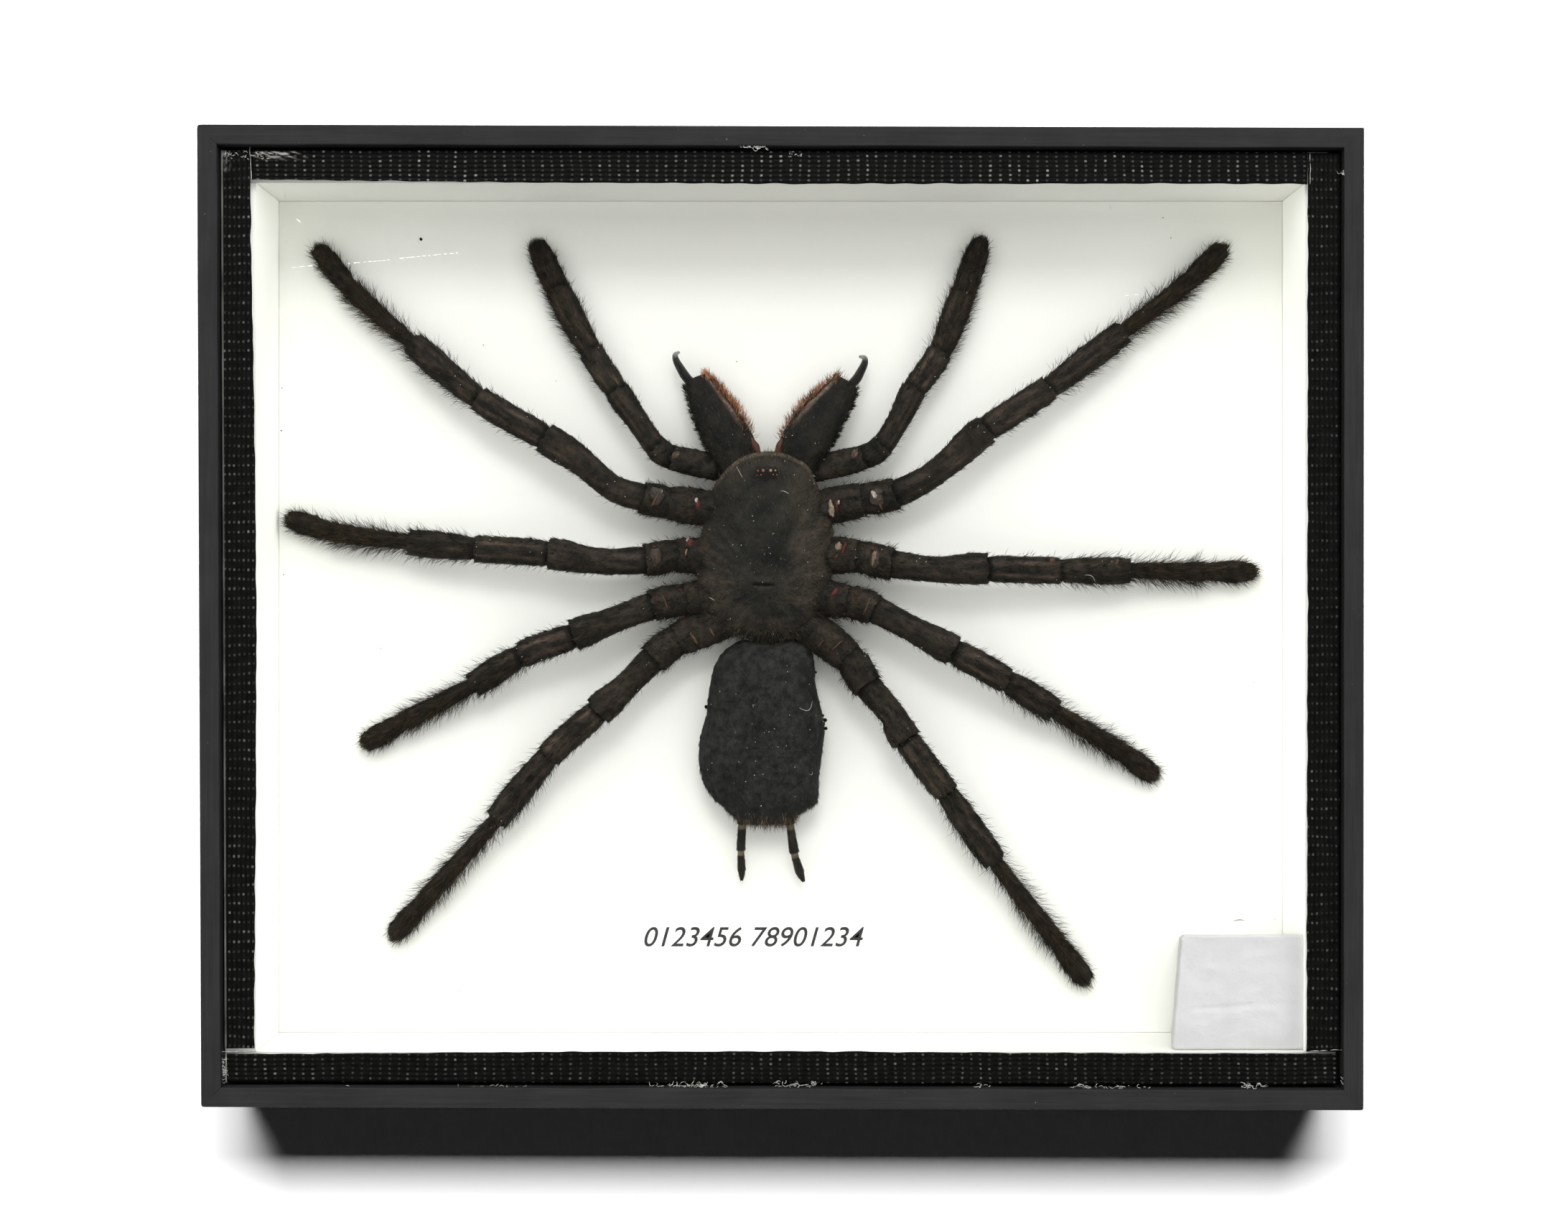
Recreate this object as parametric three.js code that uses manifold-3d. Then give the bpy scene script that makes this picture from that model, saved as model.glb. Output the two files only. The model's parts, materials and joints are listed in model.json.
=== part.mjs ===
// A tarantula dried and mounted in a small display box, as solid pieces.
// The box lies on its back. Units are millimetres: +X is the box's right, +Y its top edge,
// +Z comes out through the glass. The origin is the middle of the back face.
import * as THREE from 'three';
import { mergeVertices } from 'three/addons/utils/BufferGeometryUtils.js';
import Module from 'manifold-3d';

const manifold = await Module();
manifold.setup();

// Outer box.
const BOX_WIDTH = 180;
const BOX_HEIGHT = 152;
const BOX_DEPTH = 32;
const RAIL_WIDTH = 3.1;
const BACK_THICKNESS = 3;
const GLUE_GAP = 0.05; // between flat pieces that are glued face to face

// Tray of white card with its pane of glass, bound all round with cloth tape.
const TRAY_CLEARANCE = 0.6; // from the tape to the rails
const TAPE_THICKNESS = 0.3;
const TAPE_LAP = 5.1; // how far the tape reaches in over the glass
const TAPE_SIDE_DROP = 12; // how far it is folded down the tray's side
const CARD_THICKNESS = 4.95;
const TRAY_WALL = 4.5;
const GLASS_THICKNESS = 2;
const GLASS_TOP = BOX_DEPTH - 1.95;

// Parcel of folded paper in the lower right corner, against two tray walls.
const PARCEL = { width: 18.9, height: 17.8, depth: 19, lean: 1.4 };

// Specimen.
const MESH_GAP = 0.3; // between a piece and the neighbour that it is cut by
const LIMB_SIDES = 10;
const RINGS_PER_SPAN = 2;
const LIMB_FLATNESS = 0.9; // height of a limb's section over its width
const FANG_FLATNESS = 1;

// Worked out from the above.
const OPENING_WIDTH = BOX_WIDTH - 2 * RAIL_WIDTH;
const OPENING_HEIGHT = BOX_HEIGHT - 2 * RAIL_WIDTH;
const TAPED_WIDTH = OPENING_WIDTH - 2 * TRAY_CLEARANCE;
const TAPED_HEIGHT = OPENING_HEIGHT - 2 * TRAY_CLEARANCE;
const TAPE_OFFSET = TAPE_THICKNESS + GLUE_GAP;
const TRAY_WIDTH = TAPED_WIDTH - 2 * TAPE_OFFSET;
const TRAY_HEIGHT = TAPED_HEIGHT - 2 * TAPE_OFFSET;
const TRAY_BOTTOM = BACK_THICKNESS + GLUE_GAP;
const CARD_TOP = TRAY_BOTTOM + CARD_THICKNESS;
const WALL_TOP = GLASS_TOP - GLASS_THICKNESS - GLUE_GAP;
const INNER_WIDTH = TRAY_WIDTH - 2 * TRAY_WALL;
const INNER_HEIGHT = TRAY_HEIGHT - 2 * TRAY_WALL;

// Limb stations, from the tip to the root: [x, y, height above the card, width].
// A leg's stations are its tip, its joints and the bends of its thigh.
const LEGS = {
  leg_left_1: [
    [-74.8, 59.5, 1.6, 1.9],
    [-68.9, 52.5, 2.5, 3.4],
    [-59.1, 43.9, 4.2, 3.5],
    [-48.3, 34.9, 6.2, 4.2],
    [-37.5, 28.5, 7.2, 4.6],
    [-31.9, 24.8, 7.2, 4.4],
    [-26.8, 20.6, 6.8, 4.6],
    [-22.0, 19.1, 6.0, 5.0],
    [-17.8, 18.3, 5.2, 5.5],
    [-10.7, 17.3, 4.8, 5.8],
  ],
  leg_left_2: [
    [-79.5, 15.8, 1.6, 1.9],
    [-71.7, 13.6, 2.5, 3.4],
    [-59.4, 12.0, 4.2, 3.5],
    [-48.6, 10.9, 6.2, 4.2],
    [-36.9, 10.1, 7.2, 4.6],
    [-29.2, 8.9, 7.2, 4.6],
    [-21.6, 9.1, 6.2, 5.0],
    [-16.5, 9.9, 5.2, 5.2],
    [-10.1, 9.4, 4.8, 5.2],
  ],
  leg_left_3: [
    [-67.2, -20.4, 1.6, 1.9],
    [-60.3, -16.6, 2.5, 3.4],
    [-49.4, -10.9, 4.2, 3.5],
    [-41.4, -6.1, 6.2, 4.2],
    [-32.9, -2.9, 7.2, 4.6],
    [-20.5, 1.8, 6.2, 4.8],
    [-15.3, 2.7, 5.2, 4.9],
    [-10.1, 3.1, 4.8, 4.9],
  ],
  leg_left_4: [
    [-62.7, -51.6, 1.6, 1.9],
    [-57.0, -45.2, 2.5, 3.4],
    [-45.7, -32.5, 4.2, 3.5],
    [-37.0, -22.1, 6.2, 4.2],
    [-29.1, -15.0, 7.2, 4.6],
    [-24.5, -10.8, 7.2, 4.4],
    [-20.4, -6.7, 6.6, 4.6],
    [-16.5, -3.7, 5.6, 4.7],
    [-10.1, -1.8, 4.8, 4.6],
  ],
  leg_right_1: [
    [71.5, 59.6, 1.6, 1.9],
    [65.1, 53.5, 2.5, 3.4],
    [54.9, 45.7, 4.2, 3.5],
    [42.8, 36.5, 6.2, 4.2],
    [32.6, 29.8, 7.2, 4.6],
    [27.5, 25.3, 7.2, 4.6],
    [23.3, 22.1, 6.8, 4.7],
    [18.3, 19.7, 6.0, 5.0],
    [13.0, 18.8, 5.2, 5.6],
    [6.2, 17.5, 4.8, 5.8],
  ],
  leg_right_2: [
    [76.5, 7.3, 1.6, 1.9],
    [68.0, 7.3, 2.5, 3.4],
    [55.9, 7.4, 4.2, 3.5],
    [44.3, 7.4, 6.2, 4.2],
    [32.8, 7.7, 7.2, 4.6],
    [24.7, 7.6, 7.2, 4.8],
    [17.7, 8.5, 6.2, 5.0],
    [12.2, 9.7, 5.2, 5.2],
    [5.1, 9.9, 4.8, 5.2],
  ],
  leg_right_3: [
    [60.5, -25.7, 1.6, 1.9],
    [54.4, -21.4, 2.5, 3.4],
    [43.7, -14.9, 4.2, 3.5],
    [36.0, -10.1, 6.2, 4.2],
    [27.4, -5.3, 7.2, 4.6],
    [14.9, 1.2, 6.2, 4.9],
    [10.7, 2.4, 5.2, 5.0],
    [4.9, 3.3, 4.8, 5.0],
  ],
  leg_right_4: [
    [49.4, -58.9, 1.6, 1.9],
    [44.4, -52.2, 2.5, 3.4],
    [34.3, -39.1, 4.2, 3.5],
    [26.4, -28.0, 6.2, 4.2],
    [19.9, -19.4, 7.2, 4.6],
    [17.8, -15.6, 7.2, 4.6],
    [13.8, -10.9, 6.6, 4.7],
    [10.7, -6.4, 5.6, 4.7],
    [4.9, -2.3, 4.8, 4.6],
  ],
};
const PALPS = {
  palp_left: [
    [-39.4, 60.2, 2.0, 2.4],
    [-35.9, 52.6, 3.0, 4.0],
    [-30.5, 42.6, 4.2, 4.3],
    [-26.2, 36.1, 5.2, 4.2],
    [-22.9, 31.3, 5.8, 4.0],
    [-20.0, 27.3, 5.6, 3.7],
    [-17.4, 25.6, 5.0, 3.6],
    [-10.0, 23.9, 4.6, 3.6],
  ],
  palp_right: [
    [32.4, 60.8, 2.0, 2.4],
    [29.3, 51.9, 3.0, 4.0],
    [25.5, 42.4, 4.2, 4.3],
    [21.3, 36.3, 5.2, 4.2],
    [19.1, 31.9, 5.8, 4.0],
    [16.2, 27.4, 5.6, 3.7],
    [13.2, 25.6, 5.0, 3.6],
    [5.0, 23.6, 4.6, 3.6],
  ],
};
const CHELICERAE = {
  chelicera_left: [
    [-13.6, 38.2, 4.6, 3.6],
    [-13.1, 37.0, 4.8, 4.6],
    [-11.9, 34.8, 5.2, 5.7],
    [-10.1, 31.5, 5.8, 7.0],
    [-8.3, 28.2, 5.8, 7.5],
    [-7.3, 26.1, 5.2, 7.2],
    [-6.4, 23.5, 4.4, 6.4],
  ],
  chelicera_right: [
    [10.6, 37.6, 4.6, 3.9],
    [9.9, 36.4, 4.8, 4.9],
    [8.3, 34.2, 5.2, 6.1],
    [6.0, 31.2, 5.8, 7.3],
    [4.0, 28.0, 5.8, 7.7],
    [2.9, 25.6, 5.2, 7.4],
    [1.9, 23.1, 4.4, 6.4],
  ],
};
const FANGS = {
  fang_left: [
    [-16.4, 42.7, 2.6, 0.4],
    [-17.0, 42.2, 3.1, 0.8],
    [-16.8, 41.2, 3.6, 1.1],
    [-16.1, 39.9, 4.2, 1.4],
    [-15.2, 38.5, 4.6, 1.6],
    [-13.8, 37.0, 4.8, 1.3],
  ],
  fang_right: [
    [12.7, 42.0, 2.6, 0.4],
    [13.5, 41.7, 3.1, 0.8],
    [13.5, 40.8, 3.6, 1.1],
    [12.8, 39.3, 4.2, 1.4],
    [12.0, 38.0, 4.6, 1.6],
    [10.5, 36.6, 4.8, 1.3],
  ],
};
const SPINNERETS = {
  spinneret_left: [
    [-6.3, -42.5, 2.8, 0.5],
    [-6.3, -40.9, 3.0, 1.1],
    [-6.4, -37.6, 3.6, 1.2],
    [-6.2, -33.4, 4.2, 1.5],
    [-6.0, -31.0, 4.4, 1.5],
  ],
  spinneret_right: [
    [3.7, -42.7, 2.8, 0.5],
    [3.1, -41.2, 3.0, 1.2],
    [2.2, -38.0, 3.6, 1.4],
    [1.5, -33.4, 4.2, 1.5],
    [1.0, -31.0, 4.4, 1.5],
  ],
};

// Outlines seen from the front, anticlockwise from the lower right.
const CARAPACE_OUTLINE = [
  [4.4, -2.3], [6.3, 1.0], [7.6, 4.1], [8.1, 6.7], [8.6, 10.8], [8.2, 14.9], [7.2, 18.0],
  [5.9, 20.9], [4.2, 24.2], [1.0, 25.9], [-2.2, 26.4], [-5.9, 25.6], [-8.8, 23.4],
  [-11.0, 20.0], [-12.6, 13.8], [-13.8, 10.0], [-13.5, 7.1], [-12.8, 3.6], [-11.9, 0.2],
  [-9.6, -2.3], [-6.4, -3.0], [-2.7, -3.2], [0.9, -3.1],
];
const ABDOMEN_OUTLINE = [
  [5.7, -30.1], [6.1, -28.6], [6.2, -25.9], [6.5, -23.2], [6.9, -20.4], [7.1, -17.6],
  [6.9, -15.8], [6.2, -13.4], [5.6, -10.6], [5.5, -7.6], [5.0, -5.4], [3.6, -4.0],
  [1.6, -3.4], [-2.5, -3.9], [-6.3, -3.7], [-8.7, -5.0], [-10.5, -7.4], [-11.3, -10.2],
  [-11.8, -13.5], [-12.1, -16.0], [-12.8, -18.4], [-13.2, -20.8], [-13.2, -23.4],
  [-12.7, -26.0], [-11.3, -28.7], [-9.4, -30.4], [-8.3, -31.6], [-6.0, -33.0], [-2.4, -33.5],
  [1.6, -33.0], [3.2, -31.6],
];
// Sections upwards: [height above the card, size against the outline].
const CARAPACE_LEVELS = [
  [1.8, 0.4], [2.4, 0.56], [4.4, 0.66], [5.2, 0.97], [6.0, 1], [7.2, 0.95],
  [8.6, 0.8], [9.5, 0.56], [9.9, 0.25],
];
const ABDOMEN_LEVELS = [
  [0.2, 0.5], [0.9, 0.76], [2.4, 0.93], [4.6, 1], [6.6, 0.97], [8.2, 0.86],
  [9.2, 0.64], [9.6, 0.3],
];

const MATERIALS = {
  paintedWood: { color: '#3c3c3e', roughness: 0.6, metalness: 0 },
  backBoard: { color: '#2c2b2a', roughness: 0.8, metalness: 0 },
  card: { color: '#f4f4f0', roughness: 0.9, metalness: 0 },
  glass: { color: '#e8f0ee', roughness: 0.05, metalness: 0 },
  tape: { color: '#161614', roughness: 0.35, metalness: 0 },
  paper: { color: '#e2e2df', roughness: 0.85, metalness: 0 },
  shell: { color: '#36332e', roughness: 0.7, metalness: 0 },
  velvet: { color: '#2e2c2b', roughness: 0.85, metalness: 0 },
  limb: { color: '#261f1b', roughness: 0.7, metalness: 0 },
  fang: { color: '#121110', roughness: 0.2, metalness: 0 },
};

const group = new THREE.Group();

function addMesh(name, geometry, look, x = 0, y = 0, z = 0) {
  const mesh = new THREE.Mesh(geometry, new THREE.MeshStandardMaterial(MATERIALS[look]));
  mesh.name = name;
  mesh.position.set(x, y, z);
  group.add(mesh);
}

// A box placed by its middle in X and Y and by its lower face in Z.
function addSlab(name, look, [width, height, depth], [x, y, z]) {
  addMesh(name, new THREE.BoxGeometry(width, height, depth), look, x, y, z + depth / 2);
}

function shapeOf(points) {
  return new THREE.Shape(points.map(([x, y]) => new THREE.Vector2(x, y)));
}

// Frame: four rails mitred at 45 degrees, each drawn along X and turned into place.
function mitredRail(length) {
  const half = length / 2;
  const inner = half - RAIL_WIDTH;
  const outline = shapeOf([[-half, 0], [-inner, -RAIL_WIDTH], [inner, -RAIL_WIDTH], [half, 0]]);
  return new THREE.ExtrudeGeometry(outline, { depth: BOX_DEPTH, bevelEnabled: false });
}

function addFrame() {
  const sides = [
    ['top', BOX_WIDTH, BOX_HEIGHT / 2, 0],
    ['left', BOX_HEIGHT, BOX_WIDTH / 2, 1],
    ['bottom', BOX_WIDTH, BOX_HEIGHT / 2, 2],
    ['right', BOX_HEIGHT, BOX_WIDTH / 2, 3],
  ];
  for (const [side, length, reach, quarter] of sides) {
    const rail = mitredRail(length - 2 * GLUE_GAP);
    rail.translate(0, reach, 0);
    rail.rotateZ(quarter * Math.PI / 2);
    addMesh(`frame_rail_${side}`, rail, 'paintedWood');
  }
  const width = OPENING_WIDTH - 2 * GLUE_GAP;
  const height = OPENING_HEIGHT - 2 * GLUE_GAP;
  addSlab('back_board', 'backBoard', [width, height, BACK_THICKNESS], [0, 0, 0]);
}

// Tray: a thick base card inside four walls, closed by the glass.
function addTray() {
  const wallDepth = WALL_TOP - TRAY_BOTTOM;
  const wallX = (TRAY_WIDTH - TRAY_WALL) / 2;
  const wallY = (TRAY_HEIGHT - TRAY_WALL) / 2;
  const sideLength = INNER_HEIGHT - 2 * GLUE_GAP;
  addSlab('base_card', 'card',
    [INNER_WIDTH - 2 * GLUE_GAP, sideLength, CARD_THICKNESS], [0, 0, TRAY_BOTTOM]);
  for (const [side, sign] of [['top', 1], ['bottom', -1]]) {
    addSlab(`tray_wall_${side}`, 'card',
      [TRAY_WIDTH, TRAY_WALL, wallDepth], [0, sign * wallY, TRAY_BOTTOM]);
  }
  for (const [side, sign] of [['left', -1], ['right', 1]]) {
    addSlab(`tray_wall_${side}`, 'card',
      [TRAY_WALL, sideLength, wallDepth], [sign * wallX, 0, TRAY_BOTTOM]);
  }
  addSlab('glass', 'glass',
    [TRAY_WIDTH, TRAY_HEIGHT, GLASS_THICKNESS], [0, 0, GLASS_TOP - GLASS_THICKNESS]);
}

// Tape: a strip folded over the tray's edge, an L in section. It runs along X with its
// folded edge on +Y, and is turned into place.
function tapeStrip(length, reach) {
  const top = GLASS_TOP + TAPE_OFFSET;
  const under = GLASS_TOP + GLUE_GAP;
  const section = shapeOf([
    [reach, top], [reach - TAPE_LAP, top], [reach - TAPE_LAP, under],
    [reach - TAPE_THICKNESS, under], [reach - TAPE_THICKNESS, top - TAPE_SIDE_DROP],
    [reach, top - TAPE_SIDE_DROP],
  ]);
  const strip = new THREE.ExtrudeGeometry(section, { depth: length, bevelEnabled: false });
  strip.translate(0, 0, -length / 2);
  // Section X and Y become +Y and +Z, and the extrusion runs along X.
  strip.applyMatrix4(new THREE.Matrix4().makeBasis(
    new THREE.Vector3(0, 1, 0), new THREE.Vector3(0, 0, 1), new THREE.Vector3(1, 0, 0)));
  return strip;
}

// The top strip lies between the side strips, and the bottom strip crosses below both.
function addTape() {
  const topLength = TAPED_WIDTH - 2 * TAPE_LAP - 2 * GLUE_GAP;
  addMesh('tape_top', tapeStrip(topLength, TAPED_HEIGHT / 2), 'tape');
  const bottom = tapeStrip(TAPED_WIDTH, TAPED_HEIGHT / 2);
  bottom.rotateZ(Math.PI);
  addMesh('tape_bottom', bottom, 'tape');
  const sideLength = TAPED_HEIGHT - TAPE_LAP - GLUE_GAP;
  const sideRise = (TAPE_LAP + GLUE_GAP) / 2;
  for (const [side, sign] of [['left', 1], ['right', -1]]) {
    const strip = tapeStrip(sideLength, TAPED_WIDTH / 2);
    strip.rotateZ(sign * Math.PI / 2);
    addMesh(`tape_${side}`, strip, 'tape', 0, sideRise, 0);
  }
}

function addParcel() {
  const { width, height, depth, lean } = PARCEL;
  const right = INNER_WIDTH / 2 - MESH_GAP;
  const bottom = -INNER_HEIGHT / 2 + MESH_GAP;
  const outline = shapeOf([
    [right - width - lean, bottom], [right, bottom],
    [right, bottom + height], [right - width, bottom + height],
  ]);
  const parcel = new THREE.ExtrudeGeometry(outline, { depth, bevelEnabled: false });
  addMesh('corner_parcel', parcel, 'paper', 0, 0, CARD_TOP + GLUE_GAP);
}

// A closed body through rings of equal count. Each ring runs anticlockwise when seen from
// the end that the rings run towards.
function closedLoft(rings) {
  const count = rings[0].length;
  const last = (rings.length - 1) * count;
  const index = [];
  for (let base = 0; base < last; base += count) {
    for (let i = 0; i < count; i++) {
      const next = (i + 1) % count;
      index.push(base + i, base + next, base + count + next);
      index.push(base + i, base + count + next, base + count + i);
    }
  }
  for (let i = 1; i < count - 1; i++) {
    index.push(0, i + 1, i);
    index.push(last, last + i, last + i + 1);
  }
  const geometry = new THREE.BufferGeometry();
  geometry.setFromPoints(rings.flat());
  geometry.setIndex(index);
  return geometry;
}

// A limb through its stations, an ellipse at each ring; grow adds to every side.
function limb(stations, flatness, grow = 0) {
  const path = new THREE.CatmullRomCurve3(
    stations.map(([x, y, height]) => new THREE.Vector3(x, y, CARD_TOP + height)));
  const spans = (stations.length - 1) * RINGS_PER_SPAN;
  const rings = [];
  for (let r = 0; r <= spans; r++) {
    const t = r / spans;
    const at = Math.min(Math.floor(r / RINGS_PER_SPAN), stations.length - 2);
    const part = r / RINGS_PER_SPAN - at;
    const width = THREE.MathUtils.lerp(stations[at][3], stations[at + 1][3], part);
    rings.push(ellipseRing(path.getPoint(t), path.getTangent(t),
      width / 2 + grow, width * flatness / 2 + grow));
  }
  return closedLoft(rings);
}

function ellipseRing(centre, along, halfWidth, halfHeight) {
  const side = new THREE.Vector3(0, 0, 1).cross(along).normalize();
  const up = along.clone().cross(side).normalize();
  return Array.from({ length: LIMB_SIDES }, (_, i) => {
    const angle = 2 * Math.PI * i / LIMB_SIDES;
    return centre.clone()
      .addScaledVector(side, halfWidth * Math.cos(angle))
      .addScaledVector(up, halfHeight * Math.sin(angle));
  });
}

// A rounded body: its outline shrunk about its middle at each level; grow adds all round.
function roundedBody(outline, levels, grow = 0) {
  const middle = outline.reduce((sum, [x, y]) => sum.add(new THREE.Vector2(x, y)),
    new THREE.Vector2()).divideScalar(outline.length);
  const ends = [levels[0], levels[levels.length - 1]];
  const rings = levels.map((level) => {
    const [height, size] = level;
    const shift = level === ends[0] ? -grow : level === ends[1] ? grow : 0;
    return outline.map(([x, y]) => {
      const arm = new THREE.Vector2(x, y).sub(middle);
      const spot = arm.setLength(arm.length() * size + grow).add(middle);
      return new THREE.Vector3(spot.x, spot.y, CARD_TOP + height + shift);
    });
  });
  return closedLoft(rings);
}

function toSolid(geometry) {
  const plain = geometry.clone();
  plain.deleteAttribute('normal');
  plain.deleteAttribute('uv');
  const merged = mergeVertices(plain);
  return new manifold.Manifold(new manifold.Mesh({
    numProp: 3,
    vertProperties: merged.getAttribute('position').array,
    triVerts: new Uint32Array(merged.getIndex().array),
  }));
}

// The geometry less its grown neighbours, which leaves a gap to each.
function cutBy(geometry, neighbours) {
  let solid = toSolid(geometry);
  for (const neighbour of neighbours) {
    solid = solid.subtract(toSolid(neighbour));
  }
  const mesh = solid.getMesh();
  const cut = new THREE.BufferGeometry();
  cut.setAttribute('position', new THREE.BufferAttribute(mesh.vertProperties, 3));
  cut.setIndex(new THREE.BufferAttribute(mesh.triVerts, 1));
  return cut;
}

function addLimbs(limbs, look, flatness, neighboursOf) {
  for (const [name, stations] of Object.entries(limbs)) {
    addMesh(name, cutBy(limb(stations, flatness), neighboursOf(name)), look);
  }
}

// Every limb is let into the body part that carries it, so each is cut by that part.
function addSpecimen() {
  addMesh('cephalothorax', roundedBody(CARAPACE_OUTLINE, CARAPACE_LEVELS), 'shell');
  addMesh('abdomen', roundedBody(ABDOMEN_OUTLINE, ABDOMEN_LEVELS), 'velvet');
  const trunk = roundedBody(CARAPACE_OUTLINE, CARAPACE_LEVELS, MESH_GAP);
  const belly = roundedBody(ABDOMEN_OUTLINE, ABDOMEN_LEVELS, MESH_GAP);
  const cheliceraBy = (name) => limb(
    CHELICERAE[name.replace(/^[a-z]+/, 'chelicera')], LIMB_FLATNESS, MESH_GAP);
  addLimbs(LEGS, 'limb', LIMB_FLATNESS, () => [trunk, belly]);
  addLimbs(PALPS, 'limb', LIMB_FLATNESS, (name) => [trunk, cheliceraBy(name)]);
  addLimbs(CHELICERAE, 'shell', LIMB_FLATNESS, () => [trunk]);
  addLimbs(FANGS, 'fang', FANG_FLATNESS, (name) => [cheliceraBy(name)]);
  addLimbs(SPINNERETS, 'velvet', LIMB_FLATNESS, () => [belly]);
}

addFrame();
addTray();
addTape();
addParcel();
addSpecimen();

export default group;
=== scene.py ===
"""A dried tarantula in a small glazed display box: the looks of every surface.

Sizes in the tables are millimetres in the part's frame: +X is the box's right, +Y its top
edge and +Z out through the glass. Limb stations give their height above the card.
"""
import json
import math

import bpy
import numpy as np
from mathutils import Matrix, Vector

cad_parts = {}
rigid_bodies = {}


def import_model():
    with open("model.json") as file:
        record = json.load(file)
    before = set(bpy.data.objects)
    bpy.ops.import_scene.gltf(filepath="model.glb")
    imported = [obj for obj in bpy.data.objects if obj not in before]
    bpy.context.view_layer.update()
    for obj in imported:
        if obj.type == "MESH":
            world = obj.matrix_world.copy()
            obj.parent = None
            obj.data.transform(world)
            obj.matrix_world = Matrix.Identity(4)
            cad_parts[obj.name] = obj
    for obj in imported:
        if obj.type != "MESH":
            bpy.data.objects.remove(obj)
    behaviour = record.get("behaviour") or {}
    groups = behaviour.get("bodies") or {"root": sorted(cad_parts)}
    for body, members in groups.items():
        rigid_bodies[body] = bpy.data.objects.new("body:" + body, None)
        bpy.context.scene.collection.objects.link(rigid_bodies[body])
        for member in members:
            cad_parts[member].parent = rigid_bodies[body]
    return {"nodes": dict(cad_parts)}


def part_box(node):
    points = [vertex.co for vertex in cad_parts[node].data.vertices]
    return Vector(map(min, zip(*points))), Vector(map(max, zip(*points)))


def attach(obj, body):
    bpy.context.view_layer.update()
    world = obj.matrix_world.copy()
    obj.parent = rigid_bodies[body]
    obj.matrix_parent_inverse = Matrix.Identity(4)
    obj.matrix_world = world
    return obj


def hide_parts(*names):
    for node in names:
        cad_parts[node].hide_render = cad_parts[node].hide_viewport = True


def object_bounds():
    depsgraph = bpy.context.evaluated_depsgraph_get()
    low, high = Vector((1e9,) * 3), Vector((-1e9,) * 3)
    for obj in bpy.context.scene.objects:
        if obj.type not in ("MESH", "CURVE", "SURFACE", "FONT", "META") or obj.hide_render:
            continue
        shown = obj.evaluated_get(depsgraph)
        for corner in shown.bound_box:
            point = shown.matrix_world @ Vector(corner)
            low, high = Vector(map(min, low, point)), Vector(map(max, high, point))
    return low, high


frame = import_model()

cad_low, cad_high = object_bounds()

MM = 0.001
BODY = "root"
SEED = 7

# The frame's own heights, in millimetres.
CARD_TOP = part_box("base_card")[1].z / MM
GLASS_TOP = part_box("glass")[1].z / MM
FRONT = cad_high.z / MM
HALF_WIDTH = cad_high.x / MM
HALF_HEIGHT = cad_high.y / MM
RAIL_WIDTH = HALF_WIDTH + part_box("frame_rail_left")[1].x / MM

# The photograph's frame of pixels and how it lies on the box's front face.
PHOTO_WIDTH = 2184
PHOTO_HEIGHT = 1685
PIXEL = 0.11066
CAMERA_HEIGHT = 440.0
CAMERA_X = 0.53
CAMERA_Y = 1.9
SENSOR = 36.0


def at_pixel(px, py, z):
    """The x and y in millimetres of what the camera sees at a pixel, at height z."""
    scale = PIXEL * (1 + (FRONT - z) / CAMERA_HEIGHT)
    x = (px - PHOTO_WIDTH / 2) * scale + CAMERA_X
    y = (PHOTO_HEIGHT / 2 - py) * scale + CAMERA_Y
    return x, y


LABEL_DIGITS = "0123456 78901234"

# ---------------------------------------------------------------- mesh code

# What leaves only the level part of a direction.
LEVEL = np.array([1, 1, 0])


def random(salt):
    return np.random.default_rng((SEED, salt))


def unit(vectors):
    return vectors / np.maximum(np.linalg.norm(vectors, axis=-1, keepdims=True), 1e-9)


def clamp(values):
    return np.clip(values, 0, 1)


def circle(sides):
    """The angles of a ring's points."""
    return math.tau * np.arange(sides) / sides


def ripple(points, pitch, salt, waves=14):
    """Smooth noise from about -1 to 1 with features about one pitch across."""
    rng = random(salt)
    directions = unit(rng.normal(size=(waves, 3)))
    turns = directions * (math.tau / pitch) * rng.uniform(0.6, 1.5, (waves, 1))
    phases = rng.uniform(0, math.tau, waves)
    return np.sin(points @ turns.T + phases).sum(axis=-1) / math.sqrt(waves) * 0.8


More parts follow.
